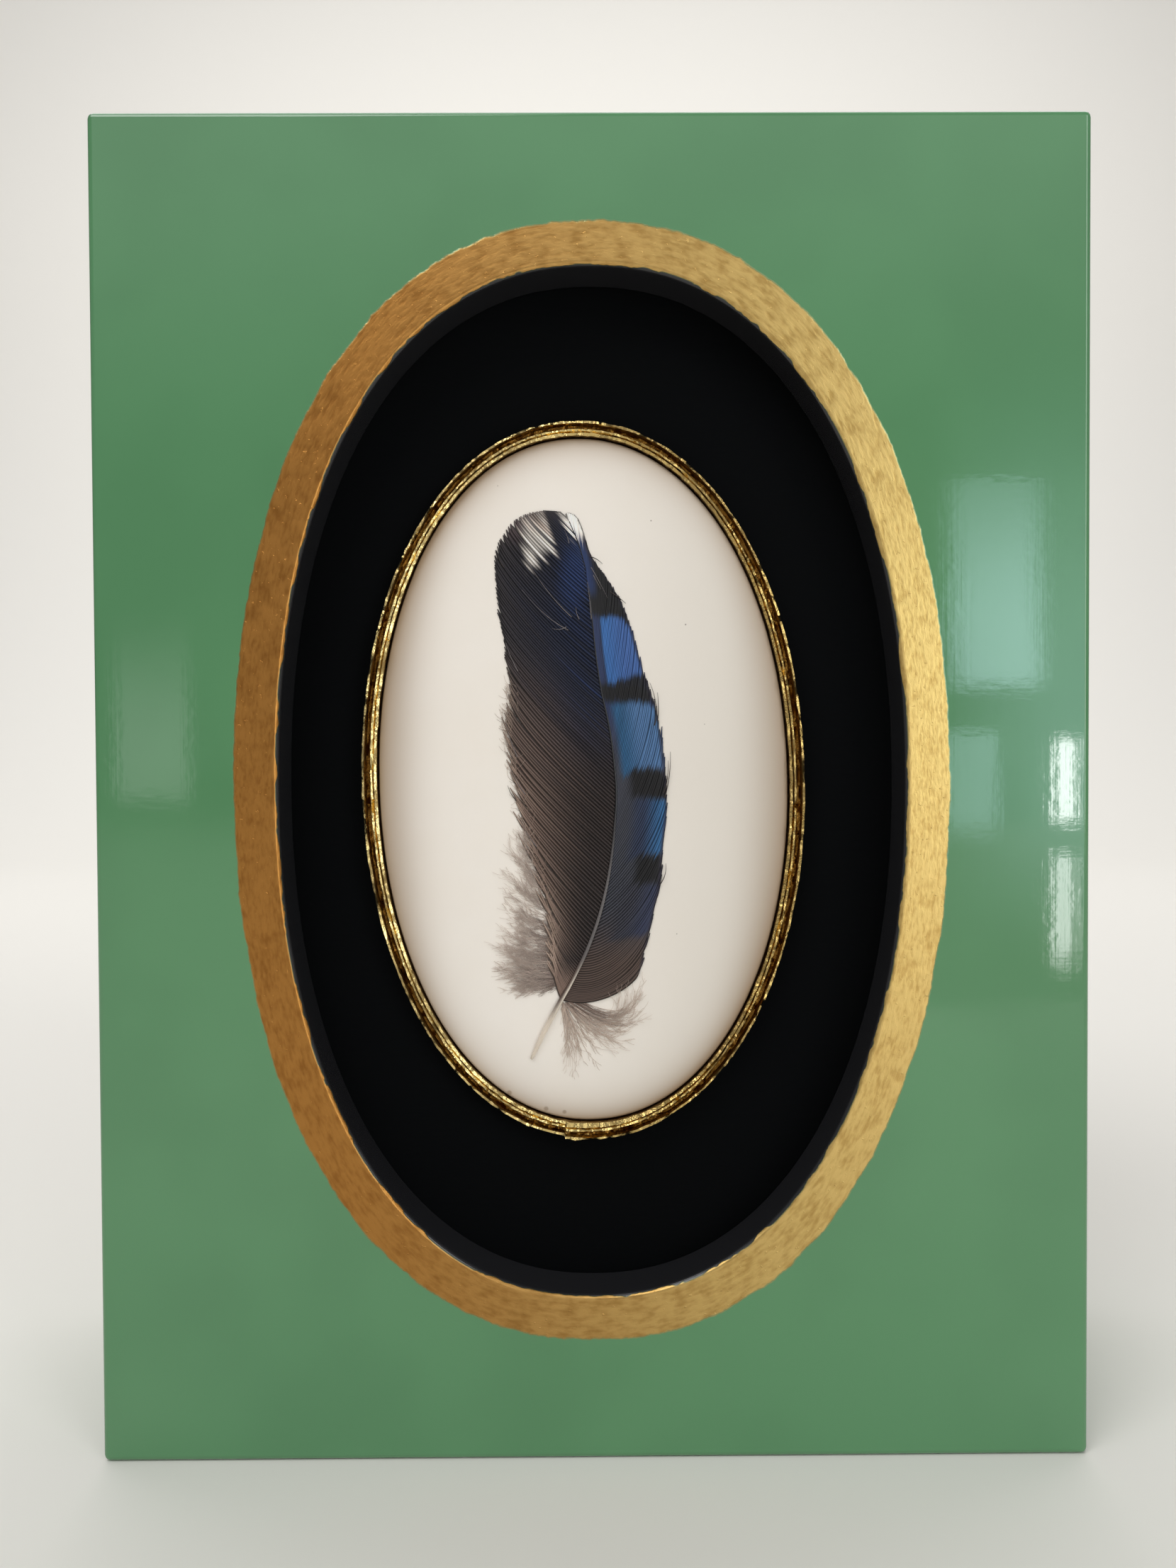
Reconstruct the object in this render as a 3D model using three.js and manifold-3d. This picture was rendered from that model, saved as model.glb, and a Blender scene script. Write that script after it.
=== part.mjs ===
// A small framed feather. A lacquered box with an oval window stands upright and faces -Y.
// Behind the window a dark board carries a domed oval plaque with a pressed foil border,
// and one barred wing feather lies on the plaque.
// Millimetres, +Z up, origin in the middle of the base.
import * as THREE from "three";
import { RoundedBoxGeometry } from "three/addons/geometries/RoundedBoxGeometry.js";
import { mergeVertices } from "three/addons/utils/BufferGeometryUtils.js";
import Module from "manifold-3d";

const wasm = await Module();
wasm.setup();

// Driving dimensions of the box and its window
const BOX_WIDTH = 89;
const BOX_DEPTH = 33;
const BOX_HEIGHT = 120.5;
const BOX_EDGE_RADIUS = 0.6;
const BOX_EDGE_SEGMENTS = 3;
const BOX_SIDE_THICKNESS = 10;
const WINDOW = { x: -0.1, z: 60.85, halfWidth: 28, halfHeight: 46, squareness: 2.2, tilt: 0 };
const WINDOW_EDGE_RADIUS = 0.5;
const WINDOW_EDGE_STEPS = 4;
const RECESS_DEPTH = 5;
const GAP = 0.3;
const CUT_ALLOWANCE = 1;

// Driving dimensions of the board, the plaque and the foil border
const BOARD_THICKNESS = 3;
const BOARD_EDGE_RADIUS = 0.3;
const BOARD_EDGE_SEGMENTS = 2;
const PLAQUE = { x: -1.1, z: 61.15, halfWidth: 18.3, halfHeight: 31, squareness: 2, tilt: 1.3 };
const PLAQUE_RIM_HEIGHT = 1.2;
const PLAQUE_CROWN_RISE = 1;
const PLAQUE_RINGS = 8;
const BORDER_WIDTH = 1.6;
const BORDER_RIDGE_HEIGHT = 1.9;
const BORDER_RIDGE_SHARE = 0.3;
const BORDER_RIDGE_FALL = 0.3;
const BORDER_VALLEY_HEIGHT = 1.35;
const BORDER_VALLEY_SHARE = 0.65;
const BORDER_OUTER_HEIGHT = 1.65;
const BORDER_OUTER_SHARE = 0.85;
const BORDER_OUTER_FALL = 0.2;

// Driving dimensions of the feather
const VANE_THICKNESS = 0.3;
const VANE_LIFT = 0.07;
const LOCK_RIDGE = 0.12;
const LOCK_STEPS = 4;
const VANE_LOCKS = 24;
const VANE_NOTCH = 0.05;
const DOWN_THICKNESS = 0.12;
const DOWN_LIFT = 0.15;
const DOWN_NOTCH = 0.5;
const DOWN_LOCKS = 10;
const SHAFT_RADIUS = 0.22;
const SHAFT_TIP_RADIUS = 0.08;
const QUILL_RADIUS = 0.46;
const QUILL_END_RADIUS = 0.34;
const QUILL_TOP_RADIUS = 0.14;
const QUILL_FULL_FROM = 0.35;
const QUILL_FULL_TO = 0.7;
const QUILL_SIDES = 8;
const QUILL_STEPS = 8;

// Pairs of barbs that set the form of the two vanes, from the base to the tip, as x and z on the plaque:
// inner tip, inner bend, root on the shaft, outer bend, outer tip. The barbs between them are interpolated.
const BARB_PAIRS = [
  [[-3.5, 42.9], [-3.35, 42], [-3, 41.2], [0.9, 39.6], [4.1, 42.4]],
  [[-3.6, 44.9], [-3.1, 43.5], [-2.3, 42.4], [2.1, 40.6], [4.65, 45.3]],
  [[-3.8, 47.3], [-2.95, 45.3], [-1.45, 44], [3.2, 43], [5.5, 49.2]],
  [[-4.2, 50.4], [-2.6, 48], [-0.5, 46], [4.2, 46.8], [6.1, 52]],
  [[-5.5, 55.1], [-2.8, 51.8], [0.5, 48.8], [4.6, 50.7], [6.4, 55.7]],
  [[-6.7, 59.2], [-3.05, 55.6], [1.2, 51.6], [4.8, 54.7], [6.8, 59.7]],
  [[-7.5, 62.9], [-3.35, 59], [1.67, 54.4], [4.6, 58.3], [6.4, 63.1]],
  [[-8, 66.2], [-3.6, 62.2], [1.95, 57.2], [4.3, 61.8], [6, 67]],
  [[-7.7, 69.6], [-3.85, 65.5], [2.1, 60.2], [3.7, 65.5], [5, 70]],
  [[-8.1, 72.9], [-4.15, 68.7], [1.85, 63.4], [2.9, 69], [4.1, 73]],
  [[-8.5, 76], [-4.5, 71.3], [1.45, 66.3], [1.9, 72.4], [3.2, 76.2]],
  [[-9, 79.3], [-4.95, 74], [0.78, 69.4], [0.95, 75.2], [2.2, 78.4]],
  [[-8.65, 81.8], [-5.4, 77.2], [0.28, 72.8], [0.3, 78.1], [0.95, 80.3]],
  [[-7.3, 83.9], [-5, 80.1], [-0.05, 76.2], [-0.4, 80.1], [-0.25, 81.9]],
  [[-5.7, 85.1], [-3.95, 82.8], [-0.4, 79.6], [-1, 82.2], [-1, 84.2]],
  [[-4.2, 85.6], [-3, 84.6], [-1.1, 82.4], [-1.6, 84.2], [-1.5, 85.3]],
  [[-3, 85.65], [-2.6, 85.3], [-2.05, 84.8], [-2.15, 85.25], [-2.3, 85.65]],
];

// The bare quill below the vanes, from its end, as x and z on the plaque.
const QUILL = [[-5.8, 35.6], [-4.6, 38.2], [-3.2, 40.8], [-1.9, 43.1]];

// Down that sets the form of the two tufts, clockwise: root, bend and tip, as x and z on the plaque.
const SIDE_DOWN = [
  [[-2.9, 42.9], [-5.2, 42.6], [-8.5, 42.2]],
  [[-2.7, 43.6], [-5.4, 43.4], [-8.8, 43.6]],
  [[-2.8, 44.6], [-6, 45], [-9.2, 45.2]],
  [[-3.3, 46], [-6, 46.4], [-9.3, 47.4]],
  [[-3.7, 47.6], [-6, 48.4], [-8.4, 49.6]],
  [[-4, 49.5], [-6, 50.6], [-8.2, 52.6]],
  [[-4.6, 51.5], [-6.4, 53.2], [-8.3, 55.3]],
];
const BASE_DOWN = [
  [[-2.6, 41.8], [1.2, 39.6], [4.2, 42]],
  [[-2.8, 41.5], [1.5, 38.4], [4, 40.8]],
  [[-2.9, 41.2], [1, 37.8], [6, 40.4]],
  [[-3.1, 40.9], [-0.5, 37.4], [3.4, 38.1]],
  [[-3.2, 40.7], [-1.4, 36.4], [3.4, 36.6]],
  [[-3.4, 40.4], [-2.2, 37.6], [-0.4, 35.6]],
  [[-3.6, 40.1], [-2.9, 37], [-2.9, 33.4]],
];

// Fineness of the ovals, the circle that an oval is turned on, and the distance at which corners merge
const OVAL_SEGMENTS = 72;
const LATHE_RADIUS = 100;
const MERGE_DISTANCE = 0.001;

// Finishes: colour, roughness and metalness
const GREEN_LACQUER = { color: 0x4f9068, roughness: 0.12, metalness: 0 };
const BLACK_BOARD = { color: 0x0a0a0b, roughness: 0.85, metalness: 0 };
const WHITE_PLAQUE = { color: 0xe2dad0, roughness: 0.5, metalness: 0 };
const GILT_FOIL = { color: 0xb08a3c, roughness: 0.3, metalness: 1 };
const DARK_FEATHER = { color: 0x2c2c34, roughness: 0.6, metalness: 0 };

// Values that follow from the driving dimensions
const FRONT = -BOX_DEPTH / 2;
const FLOOR = FRONT + RECESS_DEPTH;
const PLAQUE_BACK = FLOOR - GAP;

// The geometry's positions alone, with shared corners merged and collapsed triangles dropped.
function closedGeometry(geometry) {
  const bare = new THREE.BufferGeometry();
  bare.setAttribute("position", geometry.getAttribute("position"));
  bare.setIndex(geometry.index);
  const merged = mergeVertices(bare, MERGE_DISTANCE);
  const corners = merged.index.array;
  const kept = [];
  for (let i = 0; i < corners.length; i += 3) {
    const [a, b, c] = corners.slice(i, i + 3);
    if (a !== b && b !== c && c !== a) kept.push(a, b, c);
  }
  merged.setIndex(kept);
  return merged;
}

function solidOf(geometry) {
  const closed = closedGeometry(geometry);
  const vertProperties = new Float32Array(closed.getAttribute("position").array);
  const triVerts = new Uint32Array(closed.index.array);
  return new wasm.Manifold(new wasm.Mesh({ numProp: 3, vertProperties, triVerts }));
}

function geometryOf(solid) {
  const { vertProperties, triVerts } = solid.getMesh();
  const geometry = new THREE.BufferGeometry();
  geometry.setAttribute("position", new THREE.BufferAttribute(vertProperties, 3));
  geometry.setIndex(new THREE.BufferAttribute(triVerts, 1));
  geometry.computeVertexNormals();
  return geometry;
}

// The largest shell of a solid, so that small voids closed in between joined pieces are filled.
function outerSkin(solid) {
  const shells = solid.decompose();
  shells.sort((one, other) => other.volume() - one.volume());
  return shells[0];
}

// Moves every corner of a geometry to where place(x, y, z) puts it.
function reshape(geometry, place) {
  const position = geometry.getAttribute("position");
  for (let i = 0; i < position.count; i += 1) {
    const [x, y, z] = place(position.getX(i), position.getY(i), position.getZ(i));
    position.setXYZ(i, x, y, z);
  }
  return geometry;
}

// A point at this angle on an oval's outline, moved out along the outline's normal.
function ovalPoint(oval, angle, offset) {
  const cos = Math.cos(angle);
  const sin = Math.sin(angle);
  const power = 2 / oval.squareness;
  const x = oval.halfWidth * Math.sign(cos) * Math.abs(cos) ** power;
  const z = oval.halfHeight * Math.sign(sin) * Math.abs(sin) ** power;
  const normal = new THREE.Vector2(
    (Math.sign(cos) * Math.abs(cos) ** (2 - power)) / oval.halfWidth,
    (Math.sign(sin) * Math.abs(sin) ** (2 - power)) / oval.halfHeight,
  ).normalize();
  return [x + normal.x * offset, z + normal.y * offset];
}

// Turns a point of the oval's own plane by its tilt and puts it at its centre.
function onOval(oval, x, z) {
  const tilt = THREE.MathUtils.degToRad(oval.tilt);
  return [
    oval.x + x * Math.cos(tilt) - z * Math.sin(tilt),
    oval.z + x * Math.sin(tilt) + z * Math.cos(tilt),
  ];
}

// A turned shape led round an oval in place of a circle.
// The profile's points are [offset from the outline, y]; a null offset is the middle of the oval.
function ovalTurning(oval, profile) {
  const points = profile.map(([offset, y]) => {
    const radius = offset === null ? 0 : LATHE_RADIUS + offset;
    return new THREE.Vector2(radius, y);
  });
  const turned = new THREE.LatheGeometry(points, OVAL_SEGMENTS);
  return reshape(turned, (x, y, z) => {
    const radius = Math.hypot(x, z);
    if (radius < LATHE_RADIUS / 2) return [oval.x, y, oval.z];
    const [u, v] = ovalPoint(oval, Math.atan2(z, x), radius - LATHE_RADIUS);
    const [px, pz] = onOval(oval, u, v);
    return [px, y, pz];
  });
}

// Frame box: a rounded block, cut through by the window and hollowed from the back
function windowCutter() {
  const mouth = [];
  for (let i = 0; i <= WINDOW_EDGE_STEPS; i += 1) {
    const turn = (i / WINDOW_EDGE_STEPS) * (Math.PI / 2);
    const offset = WINDOW_EDGE_RADIUS * (1 - Math.sin(turn));
    const depth = WINDOW_EDGE_RADIUS * (1 - Math.cos(turn));
    mouth.push([offset, FRONT + depth]);
  }
  const before = FRONT - CUT_ALLOWANCE;
  const behind = FLOOR + CUT_ALLOWANCE;
  return ovalTurning(WINDOW, [
    [null, before],
    [WINDOW_EDGE_RADIUS, before],
    ...mouth,
    [0, behind],
    [null, behind],
  ]);
}

function hollowCutter() {
  const front = FLOOR - GAP;
  const back = BOX_DEPTH / 2 + CUT_ALLOWANCE;
  const width = BOX_WIDTH - 2 * BOX_SIDE_THICKNESS;
  const height = BOX_HEIGHT - 2 * BOX_SIDE_THICKNESS;
  const hollow = new THREE.BoxGeometry(width, back - front, height);
  return hollow.translate(0, (front + back) / 2, BOX_HEIGHT / 2);
}

function frameBoxGeometry() {
  const block = new RoundedBoxGeometry(BOX_WIDTH, BOX_DEPTH, BOX_HEIGHT, BOX_EDGE_SEGMENTS, BOX_EDGE_RADIUS);
  block.translate(0, 0, BOX_HEIGHT / 2);
  const cut = solidOf(block).subtract(solidOf(windowCutter())).subtract(solidOf(hollowCutter()));
  return geometryOf(cut);
}

// Backing board: fills the hollow behind the window
function backingBoardGeometry() {
  const width = BOX_WIDTH - 2 * (BOX_SIDE_THICKNESS + GAP);
  const height = BOX_HEIGHT - 2 * (BOX_SIDE_THICKNESS + GAP);
  const board = new RoundedBoxGeometry(
    width, BOARD_THICKNESS, height, BOARD_EDGE_SEGMENTS, BOARD_EDGE_RADIUS,
  );
  return board.translate(0, FLOOR + BOARD_THICKNESS / 2, BOX_HEIGHT / 2);
}

// Plaque: a low dome with an oval rim
function domeHeight(radiusShare) {
  return PLAQUE_RIM_HEIGHT + PLAQUE_CROWN_RISE * (1 - radiusShare ** 2);
}

function plaqueGeometry() {
  const profile = [new THREE.Vector2(0, 0), new THREE.Vector2(1, 0)];
  for (let ring = PLAQUE_RINGS; ring >= 0; ring -= 1) {
    const share = Math.sin((ring / PLAQUE_RINGS) * (Math.PI / 2));
    profile.push(new THREE.Vector2(share, domeHeight(share)));
  }
  const dome = new THREE.LatheGeometry(profile, OVAL_SEGMENTS);
  return reshape(dome, (x, y, z) => {
    const [px, pz] = onOval(PLAQUE, x * PLAQUE.halfWidth, -z * PLAQUE.halfHeight);
    return [px, PLAQUE_BACK - y, pz];
  });
}

// Gilt border: a foil strip pressed into a low outer ridge, a valley and a higher inner ridge
function giltBorderGeometry() {
  const inner = GAP;
  const outer = GAP + BORDER_WIDTH;
  const heights = [
    [inner, 0],
    [inner, BORDER_RIDGE_HEIGHT - BORDER_RIDGE_FALL],
    [inner + BORDER_RIDGE_SHARE * BORDER_WIDTH, BORDER_RIDGE_HEIGHT],
    [inner + BORDER_VALLEY_SHARE * BORDER_WIDTH, BORDER_VALLEY_HEIGHT],
    [inner + BORDER_OUTER_SHARE * BORDER_WIDTH, BORDER_OUTER_HEIGHT],
    [outer, BORDER_OUTER_HEIGHT - BORDER_OUTER_FALL],
    [outer, 0],
    [inner, 0],
  ];
  return ovalTurning(PLAQUE, heights.map(([offset, height]) => [offset, PLAQUE_BACK - height]));
}

// Feather: every point of it is laid on the plaque's dome at a height above it
function onPlaque(x, z, height) {
  const tilt = THREE.MathUtils.degToRad(PLAQUE.tilt);
  const dx = x - PLAQUE.x;
  const dz = z - PLAQUE.z;
  const across = (dx * Math.cos(tilt) + dz * Math.sin(tilt)) / PLAQUE.halfWidth;
  const along = (dz * Math.cos(tilt) - dx * Math.sin(tilt)) / PLAQUE.halfHeight;
  return [x, PLAQUE_BACK - domeHeight(Math.hypot(across, along)) - GAP - height, z];
}

function flatCurve(points) {
  return new THREE.CatmullRomCurve3(points.map(([x, z]) => new THREE.Vector3(x, 0, z)));
}

// One curve through the same column of every row, such as all the tips.
function curvesThrough(rows) {
  return rows[0].map((_, column) => flatCurve(rows.map((row) => row[column])));
}

// The quill swells from its end to its full thickness and tapers off where the shaft goes on.
function quillRadius(share) {
  const { clamp, lerp } = THREE.MathUtils;
  const swell = clamp(share / QUILL_FULL_FROM, 0, 1);
  const taper = clamp((share - QUILL_FULL_TO) / (1 - QUILL_FULL_TO), 0, 1);
  return lerp(lerp(QUILL_END_RADIUS, QUILL_RADIUS, swell), QUILL_TOP_RADIUS, taper);
}

function quillGeometry() {
  const route = flatCurve(QUILL);
  const rod = new THREE.CylinderGeometry(1, 1, 1, QUILL_SIDES, QUILL_STEPS);
  return reshape(rod, (x, y, z) => {
    const share = y + 0.5;
    const middle = route.getPoint(share);
    const along = route.getTangent(share);
    const radius = quillRadius(share);
    const side = x * radius;
    return onPlaque(middle.x + along.z * side, middle.z - along.x * side, radius * (1 + z));
  });
}

// The barbs at one share of the feather's length, each from the shaft's edge to its tip.
function barbPair(curves, share) {
  const [innerTip, innerBend, root, outerBend, outerTip] = curves.map((curve) => curve.getPoint(share));
  const along = curves[2].getTangent(share);
  const radius = THREE.MathUtils.lerp(SHAFT_RADIUS, SHAFT_TIP_RADIUS, share);
  const edge = new THREE.Vector3(along.z, 0, -along.x).multiplyScalar(radius);
  const innerRoot = root.clone().sub(edge);
  const outerRoot = root.clone().add(edge);
  return {
    root,
    radius,
    inner: new THREE.QuadraticBezierCurve3(innerRoot, innerBend, innerTip),
    outer: new THREE.QuadraticBezierCurve3(outerRoot, outerBend, outerTip),
  };
}

// Both vanes and the shaft between them are one plate. Its rows run from the inner tips over the shaft
// to the outer tips. Each lock of barbs has a ridge, and the notches between locks go a little way back.
function vanesGeometry() {
  const columns = 2 * VANE_LOCKS;
  const rows = 2 * LOCK_STEPS + 2;
  const curves = curvesThrough(BARB_PAIRS);
  const pairs = [];
  for (let column = 0; column <= columns; column += 1) {
    pairs.push(barbPair(curves, 1 - column / columns));
  }
  const plate = new THREE.BoxGeometry(1, 1, 1, rows, 1, columns);
  return reshape(plate, (x, y, z) => {
    const column = Math.round((z + 0.5) * columns);
    const steps = Math.round((x + 0.5) * rows) - rows / 2;
    const pair = pairs[column];
    const onRidge = column % 2 === 1;
    if (steps === 0) {
      const shaftHeight = VANE_THICKNESS + pair.radius;
      return onPlaque(pair.root.x, pair.root.z, VANE_LIFT + shaftHeight * (y + 0.5));
    }
    const share = ((Math.abs(steps) - 1) / LOCK_STEPS) * (onRidge ? 1 : 1 - VANE_NOTCH);
    const point = (steps < 0 ? pair.inner : pair.outer).getPoint(share);
    const ridge = onRidge && share > 0 ? LOCK_RIDGE : 0;
    return onPlaque(point.x, point.z, VANE_LIFT + (VANE_THICKNESS + ridge) * (y + 0.5));
  });
}

// A tuft of down is a thinner plate with deep notches, so that its locks end in points.
function tuftGeometry(tuft) {
  const columns = 2 * DOWN_LOCKS;
  const [roots, bends, tips] = curvesThrough(tuft);
  const plate = new THREE.BoxGeometry(1, 1, 1, LOCK_STEPS, 1, columns);
  return reshape(plate, (x, y, z) => {
    const column = Math.round((z + 0.5) * columns);
    const share = column / columns;
    const strand = new THREE.QuadraticBezierCurve3(
      roots.getPoint(share), bends.getPoint(share), tips.getPoint(share),
    );
    const point = strand.getPoint((x + 0.5) * (column % 2 === 1 ? 1 : 1 - DOWN_NOTCH));
    return onPlaque(point.x, point.z, DOWN_LIFT + DOWN_THICKNESS * (y + 0.5));
  });
}

function featherGeometry() {
  let joined = solidOf(vanesGeometry());
  for (const grown of [quillGeometry(), tuftGeometry(SIDE_DOWN), tuftGeometry(BASE_DOWN)]) {
    joined = joined.add(solidOf(grown));
  }
  return geometryOf(outerSkin(joined));
}

// Assembly
function piece(name, geometry, finish) {
  const mesh = new THREE.Mesh(geometry, new THREE.MeshStandardMaterial(finish));
  mesh.name = name;
  return mesh;
}

const framedFeather = new THREE.Group();
framedFeather.add(
  piece("frame_box", frameBoxGeometry(), GREEN_LACQUER),
  piece("backing_board", backingBoardGeometry(), BLACK_BOARD),
  piece("plaque", plaqueGeometry(), WHITE_PLAQUE),
  piece("gilt_border", giltBorderGeometry(), GILT_FOIL),
  piece("feather", featherGeometry(), DARK_FEATHER),
);

export default framedFeather;
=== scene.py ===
# %% [markdown]
# # A barred feather in a green lacquered box
# This lesson dresses a small framed feather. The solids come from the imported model, and every look is
# built round them: lacquer, gold paint, pressed foil, a matt plaque and the barbs of one wing feather.
# All sizes are metres in the frame of the solids, and MM turns a size in millimetres into metres.

import math

import bpy
import numpy as np
from mathutils import Matrix, Vector


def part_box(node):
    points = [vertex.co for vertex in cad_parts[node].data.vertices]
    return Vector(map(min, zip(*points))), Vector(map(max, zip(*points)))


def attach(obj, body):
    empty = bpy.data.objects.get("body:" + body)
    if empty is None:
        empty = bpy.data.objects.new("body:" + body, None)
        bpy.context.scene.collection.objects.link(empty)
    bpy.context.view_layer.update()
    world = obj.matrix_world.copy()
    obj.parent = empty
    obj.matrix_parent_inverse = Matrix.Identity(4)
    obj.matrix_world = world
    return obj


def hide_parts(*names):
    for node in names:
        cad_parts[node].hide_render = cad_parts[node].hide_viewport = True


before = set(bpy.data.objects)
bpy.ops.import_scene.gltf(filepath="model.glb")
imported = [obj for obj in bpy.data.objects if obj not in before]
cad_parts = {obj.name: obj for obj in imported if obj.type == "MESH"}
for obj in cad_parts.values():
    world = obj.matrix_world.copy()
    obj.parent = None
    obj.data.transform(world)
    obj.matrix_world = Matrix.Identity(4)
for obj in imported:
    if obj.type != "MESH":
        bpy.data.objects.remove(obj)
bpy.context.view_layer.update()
MM = 0.001
print("solids:", sorted(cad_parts))

# %% [markdown]
# Operators act on whatever is selected, and the loaded solids start out selected. These small helpers pick
# one object alone, apply its modifiers, and put its place into its mesh, as the solids have theirs.

# %% Helpers for modelling by hand
def take(obj):
    """Selects one object alone and makes it the active one."""
    bpy.ops.object.select_all(action="DESELECT")
    obj.select_set(True)
    bpy.context.view_layer.objects.active = obj


def settle(obj):
    """Moves the object's place, turn and size into its mesh."""
    take(obj)
    bpy.ops.object.transform_apply(location=True, rotation=True, scale=True)


def apply_modifiers(obj):
    take(obj)
    for modifier in list(obj.modifiers):
        bpy.ops.object.modifier_apply(modifier=modifier.name)


def pick(obj, kind, wanted):
    """Enters edit mode with only those faces or edges selected for which wanted says yes."""
    take(obj)
    bpy.ops.object.mode_set(mode="EDIT")
    bpy.ops.mesh.select_mode(type=kind)
    bpy.ops.mesh.select_all(action="DESELECT")
    bpy.ops.object.mode_set(mode="OBJECT")
    for part in obj.data.polygons if kind == "FACE" else obj.data.edges:
        part.select = bool(wanted(part))
    bpy.ops.object.mode_set(mode="EDIT")


def face_outwards(obj):
    take(obj)
    bpy.ops.object.mode_set(mode="EDIT")
    bpy.ops.mesh.select_all(action="SELECT")
    bpy.ops.mesh.normals_make_consistent(inside=False)
    bpy.ops.object.mode_set(mode="OBJECT")


def hand_over(obj, name, node, material):
    """Names a finished piece, gives it its material, and says which solid it stands for."""
    obj.name = name
    obj.data.name = name
    obj.data.materials.clear()
    obj.data.materials.append(material)
    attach(obj, "root")
    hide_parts(node)
    triangles = sum(len(face.vertices) - 2 for face in obj.data.polygons)
    print(f"{name}: {triangles} triangles, stands for {node}")


print("modelling helpers ready")

# %% [markdown]
# Materials are sums and products of a few patterns. A Signal wraps one socket, so that a line of maths such
# as 1 - mask * 0.5 adds its own Math nodes. A Finish is one material: it adds nodes, mixes colours and
# reads Object coordinates, which stay put on the piece whatever the camera does.

# %% Helpers for materials
class Signal:
    """A number that varies over a surface."""

    def __init__(self, finish, socket):
        self.finish = finish
        self.socket = socket

    def maths(self, operation, first, second):
        return self.finish.node("ShaderNodeMath", {"operation": operation}, {0: first, 1: second})

    def __add__(self, other):
        return self.maths("ADD", self, other)

    def __radd__(self, other):
        return self.maths("ADD", other, self)

    def __sub__(self, other):
        return self.maths("SUBTRACT", self, other)

    def __rsub__(self, other):
        return self.maths("SUBTRACT", other, self)

    def __mul__(self, other):
        return self.maths("MULTIPLY", self, other)

    def __rmul__(self, other):
        return self.maths("MULTIPLY", other, self)

    def __truediv__(self, other):
        return self.maths("DIVIDE", self, other)

    def __pow__(self, other):
        return self.maths("POWER", self, other)

    def __rpow__(self, other):
        return self.maths("POWER", other, self)

    def __abs__(self):
        return self.maths("ABSOLUTE", self, 0)


def paint(red, green, blue):
    """A colour as a paint chart gives it, from 0 to 255, turned into the linear values that light uses."""
    shares = np.array([red, green, blue]) / 255
    return np.where(shares <= 0.04045, shares / 12.92, ((shares + 0.055) / 1.055) ** 2.4)


class Finish:
    """One material with a Principled shader, built from patterns."""

    def __init__(self, name, **constants):
        self.material = bpy.data.materials.new(name)
        self.material.use_nodes = True
        self.tree = self.material.node_tree
        self.shader = self.tree.nodes["Principled BSDF"]
        for socket, value in constants.items():
            self.feed(self.shader.inputs[socket.replace("_", " ")], value)

    def feed(self, socket, value):
        if isinstance(value, Signal):
            self.tree.links.new(value.socket, socket)
        elif hasattr(socket.default_value, "__len__") and len(value) < len(socket.default_value):
            socket.default_value = (*value, 1)
        else:
            socket.default_value = value

    def node(self, kind, settings, inputs, output=0):
        made = self.tree.nodes.new(kind)
        for name, value in settings.items():
            setattr(made, name, value)
        for socket, value in inputs.items():
            self.feed(made.inputs[socket], value)
        return Signal(self, made.outputs[output])

    def place(self, stretch=(1, 1, 1)):
        """Object coordinates, in millimetres, with a stretch along each axis."""
        coordinates = self.node("ShaderNodeTexCoord", {}, {}, "Object")
        size = [1 / MM / share for share in stretch]
        return self.node("ShaderNodeMapping", {}, {"Vector": coordinates, "Scale": size})

    def axes(self):
        split = self.node("ShaderNodeSeparateXYZ", {}, {"Vector": self.place()})
        outputs = split.socket.node.outputs
        return [Signal(self, outputs[name]) for name in "XYZ"]

    def grain(self, size, detail=2, stretch=(1, 1, 1)):
        """Cloudy noise from 0 to 1 with grains of about that many millimetres."""
        inputs = {"Vector": self.place(stretch), "Scale": 1 / size, "Detail": detail}
        return self.node("ShaderNodeTexNoise", {}, inputs)

    def rise(self, value, low, high):
        """0 below low, 1 above high, and a smooth step between them."""
        inputs = {"Value": value, "From Min": low, "From Max": high}
        return self.node("ShaderNodeMapRange", {"interpolation_type": "SMOOTHSTEP"}, inputs)

    def mix(self, mask, under, over, blend="MIX"):
        settings = {"data_type": "RGBA", "blend_type": blend}
        return self.node("ShaderNodeMix", settings, {0: mask, 6: under, 7: over}, 2)

    def colour(self, value):
        self.feed(self.shader.inputs["Base Color"], value)

    def varies(self, socket, value):
        self.feed(self.shader.inputs[socket], value)

    def relief(self, height, distance):
        """A fine relief of up to that many millimetres."""
        inputs = {"Height": height, "Distance": distance * MM, "Strength": 1}
        bump = self.node("ShaderNodeBump", {}, inputs)
        self.feed(self.shader.inputs["Normal"], bump)


print("material helpers ready")

# %% [markdown]
# The camera comes first, so that each piece can be judged as it appears. The photograph was taken by a phone
# held close in front of the box, a little above its middle and looking slightly down. A wide lens that near
# makes the recess look deep, so the distance matters as much as the direction.

# %% Camera
# Millimetres, and degrees for the turn.
CAMERA_PLACE = (-1.04, -120.23, 62.92)
CAMERA_TURN = (88.906, 0.285, -0.309)
CAMERA_LENS = 26.69
CAMERA_SENSOR = 36
NEAREST_SEEN = 1

bpy.ops.object.camera_add(
    location=Vector(CAMERA_PLACE) * MM,
    rotation=[math.radians(angle) for angle in CAMERA_TURN],
)
camera = bpy.context.object
camera.data.lens = CAMERA_LENS
camera.data.sensor_width = CAMERA_SENSOR
camera.data.clip_start = NEAREST_SEEN * MM
bpy.context.scene.camera = camera
print("camera", tuple(round(value, 4) for value in camera.location))

# %% [markdown]
# The box is a plain wooden block. By hand it starts as a cube at the size of its solid. A bevel softens its
# edges, the back face is inset to leave the rim, and that inset face is pushed in to make the hollow.

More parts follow.
